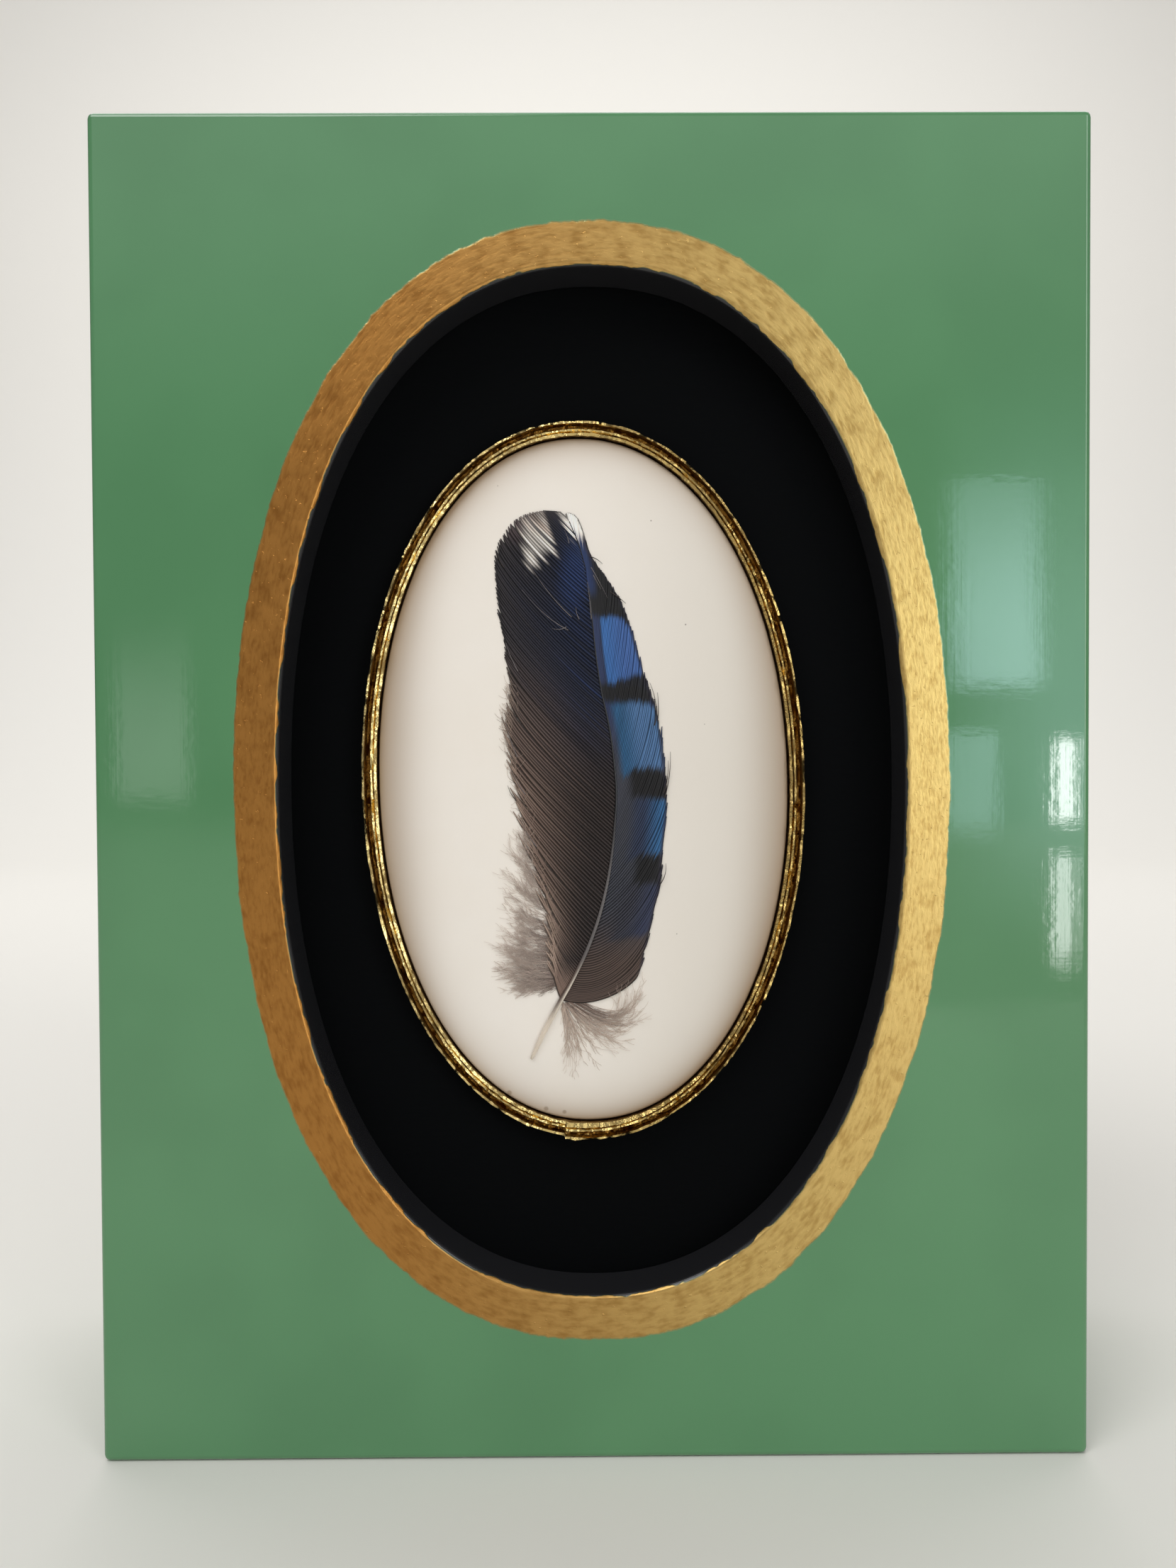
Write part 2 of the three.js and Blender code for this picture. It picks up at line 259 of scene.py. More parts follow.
# %% Block and hollow
EDGE_RADIUS = 0.6 * MM
EDGE_SEGMENTS = 4
SIDE_THICKNESS = 10 * MM
BOARD_FRONT = -11.5 * MM
GLUE_GAP = 0.3 * MM
# What tells the back face from the others: how squarely it faces the back, and its area in square metres.
FACES_BACK = 0.999
LARGE_FACE = 0.001

box_low, box_high = (Vector(corner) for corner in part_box("frame_box"))
FRONT = box_low.y
HOLLOW_END = BOARD_FRONT - GLUE_GAP
bpy.ops.object.select_all(action="DESELECT")
bpy.ops.mesh.primitive_cube_add(size=1, location=(box_low + box_high) / 2)
lacquered_box = bpy.context.object
lacquered_box.scale = box_high - box_low
settle(lacquered_box)
soft_edges = lacquered_box.modifiers.new("soft edges", "BEVEL")
soft_edges.width = EDGE_RADIUS
soft_edges.segments = EDGE_SEGMENTS
apply_modifiers(lacquered_box)
pick(lacquered_box, "FACE", lambda face: face.normal.y > FACES_BACK and face.area > LARGE_FACE)
bpy.ops.mesh.inset(thickness=SIDE_THICKNESS - EDGE_RADIUS)
bpy.ops.mesh.extrude_region_move(TRANSFORM_OT_translate={"value": (0, HOLLOW_END - box_high.y, 0)})
bpy.ops.object.mode_set(mode="OBJECT")
print("block", [round(side / MM, 1) for side in lacquered_box.dimensions])

# %% [markdown]
# The window is an oval that is a touch squarer than an ellipse. Its outline follows a formula with a
# squareness of 2.2, where an ellipse has 2. The cutter is a filled circle pushed out to that outline, and
# then extruded ring by ring: wide at the mouth, in along a quarter circle for the rounded edge, and straight
# on. The plaque is made by the same two helpers later.

# %% Ovals grown ring by ring
OVAL_POINTS = 240


def add_oval(middle, half, squareness, y):
    """A filled oval that faces the front, with middle and half sizes as (x, z) in metres."""
    bpy.ops.object.select_all(action="DESELECT")
    bpy.ops.mesh.primitive_circle_add(vertices=OVAL_POINTS, radius=1, fill_type="NGON")
    oval = bpy.context.object
    power = 2 / squareness
    for corner in oval.data.vertices:
        across = math.copysign(abs(corner.co.x) ** power, corner.co.x)
        up = math.copysign(abs(corner.co.y) ** power, corner.co.y)
        corner.co = (middle[0] + half[0] * across, y, middle[1] + half[1] * up)
    return oval


def grow(oval, middle, rings):
    """Extrudes the oval through rings of (half width, half height, y), the first of them its own."""
    take(oval)
    bpy.ops.object.mode_set(mode="EDIT")
    bpy.ops.mesh.select_all(action="SELECT")
    for (width, height, y), (new_width, new_height, new_y) in zip(rings, rings[1:]):
        bpy.ops.mesh.extrude_region_move(TRANSFORM_OT_translate={"value": (0, new_y - y, 0)})
        bpy.ops.transform.resize(
            value=(new_width / width, 1, new_height / height),
            center_override=(middle[0], new_y, middle[1]),
        )
    bpy.ops.object.mode_set(mode="OBJECT")
    face_outwards(oval)


print("ovals have", OVAL_POINTS, "points")

# %% [markdown]
# A Boolean modifier takes the cutter out of the block, and the cutter is deleted. Weighted normals then keep
# the large flat faces looking flat, although they meet rounded edges, which matters under a mirror finish.

# %% Cut the window
WINDOW_MIDDLE = np.array([-0.1, 60.85]) * MM
WINDOW_HALF = np.array([28, 46]) * MM
WINDOW_SQUARENESS = 2.2
MOUTH_RADIUS = 0.5 * MM
MOUTH_STEPS = 6
PAST = 1 * MM
SHARP_ANGLE = math.radians(35)

wide = WINDOW_HALF + MOUTH_RADIUS
mouth_rings = [(*wide, FRONT - PAST)]
for step in range(MOUTH_STEPS + 1):
    turn = step / MOUTH_STEPS * math.pi / 2
    half = wide - MOUTH_RADIUS * math.sin(turn)
    mouth_rings.append((*half, FRONT + MOUTH_RADIUS * (1 - math.cos(turn))))
mouth_rings.append((*WINDOW_HALF, HOLLOW_END + PAST))
cutter = add_oval(WINDOW_MIDDLE, wide, WINDOW_SQUARENESS, FRONT - PAST)
grow(cutter, WINDOW_MIDDLE, mouth_rings)
window = lacquered_box.modifiers.new("window", "BOOLEAN")
window.operation = "DIFFERENCE"
window.object = cutter
keep_flats = lacquered_box.modifiers.new("keep flats", "WEIGHTED_NORMAL")
keep_flats.keep_sharp = True
take(lacquered_box)
bpy.ops.object.shade_smooth_by_angle(angle=SHARP_ANGLE)
apply_modifiers(lacquered_box)
bpy.data.objects.remove(cutter)
print("window cut,", len(lacquered_box.data.polygons), "faces")

# %% [markdown]
# One finish covers the whole box, because the real one is one piece under its paint. Green lacquer is the
# ground. The gold band is everything on the front inside a second, larger oval, with an edge that wavers like
# a brush stroke. Inside the window the paint is satin black, and in the hollow the wood is bare. Each area is
# a mask made from Object coordinates, so nothing is drawn on an image.

# %% Areas of the box
# Sizes in millimetres, and wavers and reaches as shares of the ovals.
BAND_HALF = (31.9, 49.9)
BAND_WAVER = 0.014
FINE_WAVER = 0.006
EDGE_SOFTNESS = 0.003
RECESS_REACH = (1.018, 1.022)
GOLD_DEPTH = 0.06
GOLD_DRIFT = 0.2
GOLD_BLUR = 0.04
HOLLOW_DEPTH = 4.6
BOX_DEPTH = 33
HOLLOW_MIDDLE = 60.25
HOLLOW_HALF = (34.5, 50.25)
MASK_SOFTNESS = 0.06

lacquer = Finish("green_lacquer", Specular_IOR_Level=0.6)
x, y, z = lacquer.axes()
right = x - WINDOW_MIDDLE[0] / MM
above = z - WINDOW_MIDDLE[1] / MM


def oval_share(half_width, half_height):
    """1 on the oval of those half sizes round the window's middle, less inside it and more outside."""
    across = abs(right) / half_width
    up = abs(above) / half_height
    return (across**WINDOW_SQUARENESS + up**WINDOW_SQUARENESS) ** (1 / WINDOW_SQUARENESS)


def below(value, limit):
    """1 where the value is under the limit, with a narrow soft edge."""
    return 1 - lacquer.rise(value, limit, limit + MASK_SOFTNESS)


band_share = oval_share(*BAND_HALF)
waver = BAND_WAVER * (lacquer.grain(3, 3) - 0.5) + FINE_WAVER * (lacquer.grain(0.7) - 0.5)
in_band = 1 - lacquer.rise(band_share + waver, 1 - EDGE_SOFTNESS, 1 + EDGE_SOFTNESS)
in_window = 1 - lacquer.rise(oval_share(*WINDOW_HALF / MM), *RECESS_REACH)
depth = y - FRONT / MM
gold_edge = GOLD_DEPTH + GOLD_DRIFT * lacquer.rise(lacquer.grain(2.5, 3), 0.4, 0.7)
on_front = 1 - lacquer.rise(depth - gold_edge, -GOLD_BLUR, GOLD_BLUR)
gold_mask = in_band * on_front
recess_mask = in_window * (1 - on_front)
in_hollow = (1 - below(depth, HOLLOW_DEPTH)) * below(depth, BOX_DEPTH - 2 * MASK_SOFTNESS)
in_hollow = in_hollow * below(abs(x), HOLLOW_HALF[0]) * below(abs(z - HOLLOW_MIDDLE), HOLLOW_HALF[1])
bare_mask = in_hollow * (1 - recess_mask)
print("areas: band, recess, hollow")

# %% [markdown]
# The gold is metallic paint put on with a brush that went round the window, so its fine strokes are noise
# stretched along the band: one coordinate counts outwards across the band and the other round it. The
# lacquer carries upright brush lines and a slight ripple, which bend what it mirrors.

# %% Lacquer, gold band, black recess and bare wood
GREEN = paint(85, 136, 93)
DEEP_GREEN = paint(81, 131, 89)
# The gold's two colours hold a painted highlight for the right and painted shade for the left.
LIT_GOLD = paint(208, 176, 108)
SHADED_GOLD = paint(174, 121, 57)
GOLD_SHADE = paint(218, 208, 190)
RECESS_BLACK = paint(34, 34, 36)
BARE_WOOD = paint(196, 164, 122)
WOOD_LINE = paint(160, 124, 84)
BAND_RADIUS = 40
GOLD_LIGHT_SIDES = (-24, 22)
GOLD_METAL = 0.85
LACQUER_ROUGHNESS = 0.045
RECESS_ROUGHNESS = 0.2
WOOD_ROUGHNESS = 0.6
BRUSH_DEPTH = 0.03

green = lacquer.mix(lacquer.rise(lacquer.grain(18, 2), 0.35, 0.65), DEEP_GREEN, GREEN)
turn = lacquer.node("ShaderNodeMath", {"operation": "ARCTAN2"}, {0: above, 1: right})
along_band = {"X": 4 * BAND_HALF[0] * band_share, "Y": BAND_RADIUS * turn, "Z": depth}
band_place = lacquer.node("ShaderNodeCombineXYZ", {}, along_band)
strokes = lacquer.node("ShaderNodeTexNoise", {}, {"Vector": band_place, "Scale": 0.9, "Detail": 4})
fleck = lacquer.rise(lacquer.grain(0.35, 2), 0.66, 0.76)
smear = lacquer.grain(1.6, 3)
# Painted shade and highlight: the gold is painted browner on the left and paler on the right, as the light
# falls.
gold = lacquer.mix(lacquer.rise(right, *GOLD_LIGHT_SIDES), SHADED_GOLD, LIT_GOLD)
thin_paint = lacquer.rise(0.6 * strokes + 0.4 * smear, 0.6, 0.3)
gold = lacquer.mix(thin_paint, gold, GOLD_SHADE, "MULTIPLY")
wood = lacquer.mix(lacquer.grain(0.8, 4, stretch=(1, 1, 25)), BARE_WOOD, WOOD_LINE)
painted = lacquer.mix(gold_mask, green, gold)
painted = lacquer.mix(recess_mask, painted, RECESS_BLACK)
lacquer.colour(lacquer.mix(bare_mask, painted, wood))
lacquer.varies("Metallic", GOLD_METAL * gold_mask)
roughness = LACQUER_ROUGHNESS + gold_mask * (0.28 + 0.14 * smear)
lacquer.varies("Roughness", roughness + RECESS_ROUGHNESS * recess_mask + WOOD_ROUGHNESS * bare_mask)
brush_lines = lacquer.grain(0.5, 3, stretch=(1, 1, 30))
cross_lines = lacquer.grain(0.4, 2, stretch=(6, 1, 1))
ripple = 0.08 * brush_lines + 0.06 * cross_lines
ripple = ripple + 0.4 * lacquer.grain(7, 1) + 0.1 * lacquer.grain(0.9, 2)
relief = ripple * (1 - gold_mask) + gold_mask * (1.3 * strokes + 1.2 * smear + 0.8 * fleck)
lacquer.relief(relief, BRUSH_DEPTH)
hand_over(lacquered_box, "lacquered_box", "frame_box", lacquer.material)

# %% [markdown]
# The board behind the window is the floor of the recess. Its solid is already the right shape, so it only
# gets a finish: deep matt black in front, and plain brown board at the back, where the hollow shows it.

# %% Backing board
BOARD_BLACK = paint(6, 7, 8)
BOARD_BROWN = paint(128, 100, 70)
BOARD_FIBRE = paint(96, 72, 48)
# Depths y in millimetres, near the board's back, where black turns to brown.
BLACK_END, BROWN_START = -8.9, -8.8

board_finish = Finish("black_board", Roughness=0.8, Specular_IOR_Level=0.04)
_, y, _ = board_finish.axes()
fibres = board_finish.grain(0.5, 4, stretch=(4, 1, 1))
brown = board_finish.mix(fibres, BOARD_BROWN, BOARD_FIBRE)
at_back = board_finish.rise(y, BLACK_END, BROWN_START)
board_finish.colour(board_finish.mix(at_back, BOARD_BLACK, brown))
board_finish.relief(fibres, 0.04)
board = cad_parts["backing_board"]
board.data.materials.clear()
board.data.materials.append(board_finish.material)
print("board finished")

# %% [markdown]
# The plaque is a low dome of smooth matt white. A filled oval gives its back, one extrusion its rim, and a
# run of shrinking rings its crown. The real one sits a little crooked in its frame, so this one leans too.

# %% Plaque
PLAQUE_MIDDLE = np.array([-0.88, 61.15]) * MM
PLAQUE_HALF = np.array([18.84, 31.42]) * MM
PLAQUE_SQUARENESS = 2.08
PLAQUE_TILT = math.radians(1.3)
PLAQUE_BACK = BOARD_FRONT - GLUE_GAP
RIM_HEIGHT = 1.2 * MM
CROWN_RISE = 1 * MM
CROWN_FULLNESS = 6
DOME_RINGS = 28
RIM_ROUNDING = 0.1 * MM
CROWN_SHARE = 0.995
RIM_ANGLE = math.radians(40)


def dome_height(share):
    """Height of the plaque's face over its back, at that share of the way from the middle to the rim."""
    return RIM_HEIGHT + CROWN_RISE * (1 - share**CROWN_FULLNESS)


def lean(obj):
    """Turns a piece with the plaque, whose top leans to the left, about the plaque's middle."""
    middle = Vector((PLAQUE_MIDDLE[0], 0, PLAQUE_MIDDLE[1]))
    turn = Matrix.Rotation(-PLAQUE_TILT, 4, "Y")
    obj.data.transform(Matrix.Translation(middle) @ turn @ Matrix.Translation(-middle))


dome_rings = [(*PLAQUE_HALF, PLAQUE_BACK), (*PLAQUE_HALF, PLAQUE_BACK - RIM_HEIGHT + RIM_ROUNDING)]
for ring in range(DOME_RINGS):
    share = math.sin((1 - ring / DOME_RINGS) * math.pi / 2) * CROWN_SHARE
    dome_rings.append((*(PLAQUE_HALF * share), PLAQUE_BACK - dome_height(share)))
plaque = add_oval(PLAQUE_MIDDLE, PLAQUE_HALF, PLAQUE_SQUARENESS, PLAQUE_BACK)
grow(plaque, PLAQUE_MIDDLE, dome_rings)
lean(plaque)
take(plaque)
bpy.ops.object.shade_smooth_by_angle(angle=RIM_ANGLE)
print("plaque", [round(side / MM, 2) for side in plaque.dimensions])

# %% [markdown]
# The white isn't even. It carries painted shade at the rim, where the dome turns down to the foil, wider at
# both sides, and more painted shade towards the right. So the finish works out how far each point is from the
# rim, and lets the painted shade fall off with that distance. Small specks and stains are spots at given
# places.

# %% Plaque finish
PLAQUE_WHITE = paint(240, 233, 225)
PLAQUE_CREAM = paint(234, 225, 213)
PAINTED_RIM_SHADE = paint(158, 136, 112)
SIDE_SHADE = paint(217, 209, 198)
SPECK_GREY = paint(120, 108, 98)
STAIN_BROWN = paint(150, 132, 114)
# What is left of the painted rim shade one millimetre further in, and how much wider it spreads at the sides.
RIM_FALL = 0.5
SIDE_WIDENING = 0.6
# Distances from the plaque's middle, in millimetres, over which those changes build up.
WIDENING_REACH = (10, 18)
SHADE_REACH = (-4, 17)
MARK_STRENGTH = 0.8
MARK_CORE = 0.4
# Small marks on the plaque as x, z and radius in millimetres.
SPECKS = [(5.4, 84.9, 0.09), (8.5, 75.4, 0.1), (-8.6, 88.2, 0.06), (10.2, 66.3, 0.06), (7.6, 47.1, 0.07)]
STAINS = [(-7.9, 32.3, 0.32), (-4.5, 30.8, 0.3), (-2.8, 30.5, 0.26)]

plaque_finish = Finish("white_plaque", Roughness=0.42, Specular_IOR_Level=0.3)
x, _, z = plaque_finish.axes()
tone = plaque_finish.mix(plaque_finish.grain(9, 3), PLAQUE_WHITE, PLAQUE_CREAM)
right = x - PLAQUE_MIDDLE[0] / MM
above = z - PLAQUE_MIDDLE[1] / MM
from_middle = (right**2 + above**2) ** 0.5
across, up = (abs(away) / (half / MM) for away, half in zip((right, above), PLAQUE_HALF))
share = (across**PLAQUE_SQUARENESS + up**PLAQUE_SQUARENESS) ** (1 / PLAQUE_SQUARENESS)
from_rim = from_middle / share - from_middle
# Painted shade: the plaque is made greyer towards its right side.
tone = plaque_finish.mix(plaque_finish.rise(right, *SHADE_REACH), tone, SIDE_SHADE)
from_rim = from_rim * (1 - SIDE_WIDENING * plaque_finish.rise(abs(right), *WIDENING_REACH))
# Painted shade along the rim, fading inwards with the distance from it.
tone = plaque_finish.mix(RIM_FALL**from_rim, tone, PAINTED_RIM_SHADE)


def spotted(tone, marks, colour):
    for mark_x, mark_z, radius in marks:
        away = ((x - mark_x) ** 2 + (z - mark_z) ** 2) ** 0.5
        mark = 1 - plaque_finish.rise(away, MARK_CORE * radius, radius)
        tone = plaque_finish.mix(MARK_STRENGTH * mark, tone, colour)
    return tone


plaque_finish.colour(spotted(spotted(tone, SPECKS, SPECK_GREY), STAINS, STAIN_BROWN))
plaque_finish.relief(plaque_finish.grain(3, 2), 0.02)
hand_over(plaque, "plaque_dome", "plaque", plaque_finish.material)

# %% [markdown]
# The border is a strip of thin foil, pressed into fine ridges and laid round the plaque by hand: a narrow
# outer ridge, a brown groove, and a bright inner ridge with a crease along it. It is full of small flat
# facets with sharp creases. A torus already runs round in a ring, so it is cut finer along the ring, and its
# corners are moved to the foil's section at the plaque's edge. Each line of corners along the strip gets its
# own run of random dents, joined by straight stretches, and those stretches are the facets. Where the strip's
# ends meet, near the bottom, one lies over the other.

# %% Foil border
FOIL_SEGMENTS = 256
FOIL_CUTS = 3
FOIL_START = 0.06 * MM
FOIL_WIDTH = 1.48 * MM
# Section of the strip as (share of its width from the inside, height in millimetres), once round.
FOIL_SECTION = np.array([
    (1.0, 0.7), (1.0, 1.35), (0.97, 1.64), (0.84, 1.68), (0.79, 1.4), (0.75, 1.12), (0.62, 1.08),
    (0.51, 1.12), (0.47, 1.6), (0.42, 1.84), (0.31, 1.8), (0.26, 1.56), (0.2, 1.82), (0.05, 1.74),
    (0.0, 0.05), (1.0, 0.05),
])
FOIL_FACETS = 400
FOIL_DENT = 0.07
FOIL_JOG = 0.012
OVERLAP_TURN = math.radians(-97)
OVERLAP_FADE = math.radians(30)
OVERLAP_OUT = 0.24 * MM
OVERLAP_LIFT = 0.16
# Corners higher than this, in millimetres, belong to the pressed face, and corners nearer to the plaque than
# this share of the width stay where they are.
FACE_HEIGHT = 1
INNER_SHARE = 0.1
CREASE_ANGLE = math.radians(14)

bpy.ops.object.select_all(action="DESELECT")
bpy.ops.mesh.primitive_torus_add(
    location=(0, 0, 0), major_segments=FOIL_SEGMENTS, minor_segments=len(FOIL_SECTION),
    major_radius=1, minor_radius=0.25,
)
foil = bpy.context.object


def turns_and_lines():
    """How far round the ring each corner of the torus is, and on which line of the section."""
    corners = np.array([corner.co for corner in foil.data.vertices])
    turns = np.arctan2(corners[:, 1], corners[:, 0])
    outwards = np.hypot(corners[:, 0], corners[:, 1]) - 1
    round_section = np.arctan2(corners[:, 2], outwards) / (2 * math.pi)
    return turns, np.round(round_section * len(FOIL_SECTION)).astype(int) % len(FOIL_SECTION)


turns, lines = turns_and_lines()
pick(foil, "EDGE", lambda edge: lines[edge.vertices[0]] == lines[edge.vertices[1]])
bpy.ops.mesh.subdivide(number_cuts=FOIL_CUTS)
bpy.ops.object.mode_set(mode="OBJECT")
turns, lines = turns_and_lines()
width_shares, heights = FOIL_SECTION[lines].T.copy()
random = np.random.default_rng(5)
for line in np.flatnonzero(FOIL_SECTION[:, 1] > FACE_HEIGHT):
    here = lines == line
    creases = np.sort(random.uniform(-math.pi, math.pi, FOIL_FACETS))
    for values, size in ((heights, FOIL_DENT), (width_shares, FOIL_JOG)):
        dents = random.normal(0, size, FOIL_FACETS)
        values[here] += np.interp(turns[here], creases, dents, period=2 * math.pi)
past_overlap = (turns - OVERLAP_TURN) % (2 * math.pi)
over = np.clip(1 - past_overlap / OVERLAP_FADE, 0, 1)
heights += np.where(heights > FACE_HEIGHT, OVERLAP_LIFT * over, 0)
outwards = FOIL_START + FOIL_WIDTH * width_shares + OVERLAP_OUT * over * (width_shares > INNER_SHARE)
ways = np.array([np.cos(turns), np.sin(turns)])
across, up = np.sign(ways) * abs(ways) ** (2 / PLAQUE_SQUARENESS)
corners = np.column_stack([
    PLAQUE_MIDDLE[0] + (PLAQUE_HALF[0] + outwards) * across,
    PLAQUE_BACK - heights * MM,
    PLAQUE_MIDDLE[1] + (PLAQUE_HALF[1] + outwards) * up,
])
foil.data.vertices.foreach_set("co", corners.ravel())
lean(foil)
face_outwards(foil)
take(foil)
bpy.ops.object.shade_smooth_by_angle(angle=CREASE_ANGLE)
print("foil", [round(side / MM, 2) for side in foil.dimensions])

# %% [markdown]
# The foil is metal all over. Its ridges are pale gold and duller in patches, with a painted highlight on the
# left and painted shade on the right, and its groove has gone brown. The height of a point over the board
# tells ridge from groove. Fine noise roughens the facets, so that each glints a little differently.

# %% Foil finish
# The first two colours are the ridges' painted highlight on the left and painted shade on the right.
FOIL_LIT_PALE = paint(240, 214, 146)
FOIL_SHADED_GOLD = paint(196, 166, 102)
FOIL_DULL = paint(146, 122, 78)
FOIL_BROWN = paint(112, 78, 32)
# Heights between which brown turns to gold, and where painted shade dulls it from left to right, in
# millimetres.
GROOVE_EDGE = (1.2, 1.6)
FOIL_SHADE_SIDES = (-12, 8)
CRINKLE_DEPTH = 0.11

foil_finish = Finish("gilt_foil", Metallic=1)
x, y, _ = foil_finish.axes()
height = PLAQUE_BACK / MM - y
patchy = foil_finish.rise(foil_finish.grain(4, 3), 0.45, 0.62)
raised = foil_finish.rise(height + 0.4 * (foil_finish.grain(0.5, 3) - 0.5), *GROOVE_EDGE)
# Painted highlight on the left and painted shade on the right of the ridges.
bright = foil_finish.mix(foil_finish.rise(x, *FOIL_SHADE_SIDES), FOIL_LIT_PALE, FOIL_SHADED_GOLD)
bright = foil_finish.mix(0.6 * patchy, bright, FOIL_DULL)
foil_finish.colour(foil_finish.mix(raised, FOIL_BROWN, bright))
foil_finish.varies("Roughness", 0.12 + 0.14 * foil_finish.grain(0.5, 2) + 0.14 * patchy)
foil_finish.relief(foil_finish.grain(0.3, 3), CRINKLE_DEPTH)
hand_over(foil, "foil_border", "gilt_border", foil_finish.material)

# %% [markdown]
# A feather is a shaft with hundreds of barbs. Each barb is a thin ridge of its own, and its neighbours
# overlap it, which gives a vane its fine lines. That many are best computed: the pairs of barbs below set the
# form of the two vanes, curves through them give all the barbs between, and each becomes a closed strip of a
# few faces.

# %% Form of the feather
# Pairs of barbs from the base to the tip, as x and z in millimetres: inner tip, inner bend, root on the
# shaft, outer bend, outer tip.
BARB_PAIRS = np.array([
    [[-3.5, 42.9], [-3.35, 42], [-3, 41.2], [0.9, 39.6], [4.1, 42.4]],
    [[-3.6, 44.9], [-3.1, 43.5], [-2.3, 42.4], [2.1, 40.6], [4.65, 45.3]],
    [[-3.8, 47.3], [-2.95, 45.3], [-1.45, 44], [3.2, 43], [5.5, 49.2]],
    [[-4.2, 50.4], [-2.6, 48], [-0.5, 46], [4.2, 46.8], [6.1, 52]],
    [[-5.5, 55.1], [-2.8, 51.8], [0.5, 48.8], [4.6, 50.7], [6.4, 55.7]],
    [[-6.7, 59.2], [-3.05, 55.6], [1.2, 51.6], [4.8, 54.7], [6.8, 59.7]],
    [[-7.5, 62.9], [-3.35, 59], [1.67, 54.4], [4.6, 58.3], [6.4, 63.1]],
    [[-8, 66.2], [-3.6, 62.2], [1.95, 57.2], [4.3, 61.8], [6, 67]],
    [[-7.7, 69.6], [-3.85, 65.5], [2.1, 60.2], [3.7, 65.5], [5, 70]],
    [[-8.1, 72.9], [-4.15, 68.7], [1.85, 63.4], [2.9, 69], [4.1, 73]],
    [[-8.5, 76], [-4.5, 71.3], [1.45, 66.3], [1.9, 72.4], [3.2, 76.2]],
    [[-9, 79.3], [-4.95, 74], [0.78, 69.4], [0.95, 75.2], [2.2, 78.4]],
    [[-8.85, 81.9], [-5.4, 77.2], [0.28, 72.8], [0.3, 78.1], [0.95, 80.3]],
    [[-8, 84], [-5.2, 80.2], [-0.05, 76.2], [-0.4, 80.1], [-0.25, 81.9]],
    [[-6.5, 85.3], [-4.2, 82.9], [-0.4, 79.6], [-1, 82.2], [-1, 84.2]],
    [[-4.6, 85.8], [-3.1, 84.7], [-1.1, 82.4], [-1.6, 84.2], [-1.5, 85.3]],
    [[-3, 85.65], [-2.6, 85.3], [-2.05, 84.8], [-2.15, 85.25], [-2.3, 85.65]],
])
INNER_TIP, INNER_BEND, ROOT, OUTER_BEND, OUTER_TIP = range(5)
# The bare quill below the first root, from its end up.
QUILL = np.array([[-5.8, 35.6], [-4.6, 38.2]])


def through(rows, shares):
    """A smooth curve through the rows, read at shares of its length from 0 to 1."""
    padded = np.concatenate([[2 * rows[0] - rows[1]], rows, [2 * rows[-1] - rows[-2]]])
    reach = np.clip(np.asarray(shares) * (len(rows) - 1), 0, len(rows) - 1 - 1e-6)
    step = reach.astype(int)
    t = (reach - step).reshape((-1,) + (1,) * (rows.ndim - 1))
    a, b, c, d = (padded[step + k] for k in range(4))
    bend = (2 * a - 5 * b + 4 * c - d) * t**2 + (3 * b - a - 3 * c + d) * t**3
    return b + 0.5 * ((c - a) * t + bend)


def arcs(controls, shares):
    """Curved strands as points (strand, step, axis). Each is drawn towards its row of control points, from
    the first to the last, by taking points between points."""
    t = np.asarray(shares).reshape(1, -1, 1)
    points = [control[:, None] for control in controls]
    while len(points) > 1:
        points = [start + (end - start) * t for start, end in zip(points, points[1:])]
    return points[0]


def plaque_face(x, z):
    """Depth y in metres of the plaque's face under points given in millimetres."""
    right = x - PLAQUE_MIDDLE[0] / MM
    above = z - PLAQUE_MIDDLE[1] / MM
    across = (right * math.cos(PLAQUE_TILT) + above * math.sin(PLAQUE_TILT)) / (PLAQUE_HALF[0] / MM)
    along = (above * math.cos(PLAQUE_TILT) - right * math.sin(PLAQUE_TILT)) / (PLAQUE_HALF[1] / MM)
    powers = abs(across) ** PLAQUE_SQUARENESS + abs(along) ** PLAQUE_SQUARENESS
    return PLAQUE_BACK - dome_height(powers ** (1 / PLAQUE_SQUARENESS))


print(len(BARB_PAIRS), "pairs of barbs from base to tip")

# %% [markdown]
# Every barb, hair and strand is a strip: a section, such as a low ridge, carried along a path on the plaque.
# All strips of one kind are joined into one mesh, each of them closed at both ends, and every corner keeps
# its own colour in an attribute, which the feather's finish reads.

# %% Strips joined into one mesh
FEATHER_GAP = 0.03 * MM
BARB_COLOUR = "barb_colour"
# Sections as corners of (share of the half width, share of the height), once round.
BARB_SECTION = [(-1, 0), (-0.3, 0.3), (0, 1), (0.3, 0.3), (1, 0)]
HAIR_SECTION = [(-1, 0), (0, 1), (1, 0)]
ROUND_CORNERS = 12
ROUND_TURNS = math.pi + np.arange(ROUND_CORNERS) * 2 * math.pi / ROUND_CORNERS
ROUND_SECTION = [(math.cos(turn), 0.5 + 0.5 * math.sin(turn)) for turn in ROUND_TURNS]


def barb_finish(name, **constants):
    """A finish whose colour is the one that each corner keeps."""
    finish = Finish(name, **constants)
    finish.colour(finish.node("ShaderNodeVertexColor", {"layer_name": BARB_COLOUR}, {}))
    return finish


def strip_faces(count, steps, sides):
    """Corner numbers of the quads round every strip, and of the two ends of each."""
    strip = np.arange(count)[:, None, None] * steps * sides
    step = np.arange(steps - 1)[None, :, None] * sides
    side = np.arange(sides)[None, None, :]
    following = (side + 1) % sides
    walls = np.stack([
        strip + step + side,
        strip + step + following,
        strip + step + sides + following,
        strip + step + sides + side,
    ], axis=-1).reshape(-1, 4)
    starts = (strip[:, 0] + np.arange(sides)[None, ::-1]).tolist()
    ends = (strip[:, 0] + (steps - 1) * sides + np.arange(sides)[None, :]).tolist()
    return walls.tolist() + starts + ends


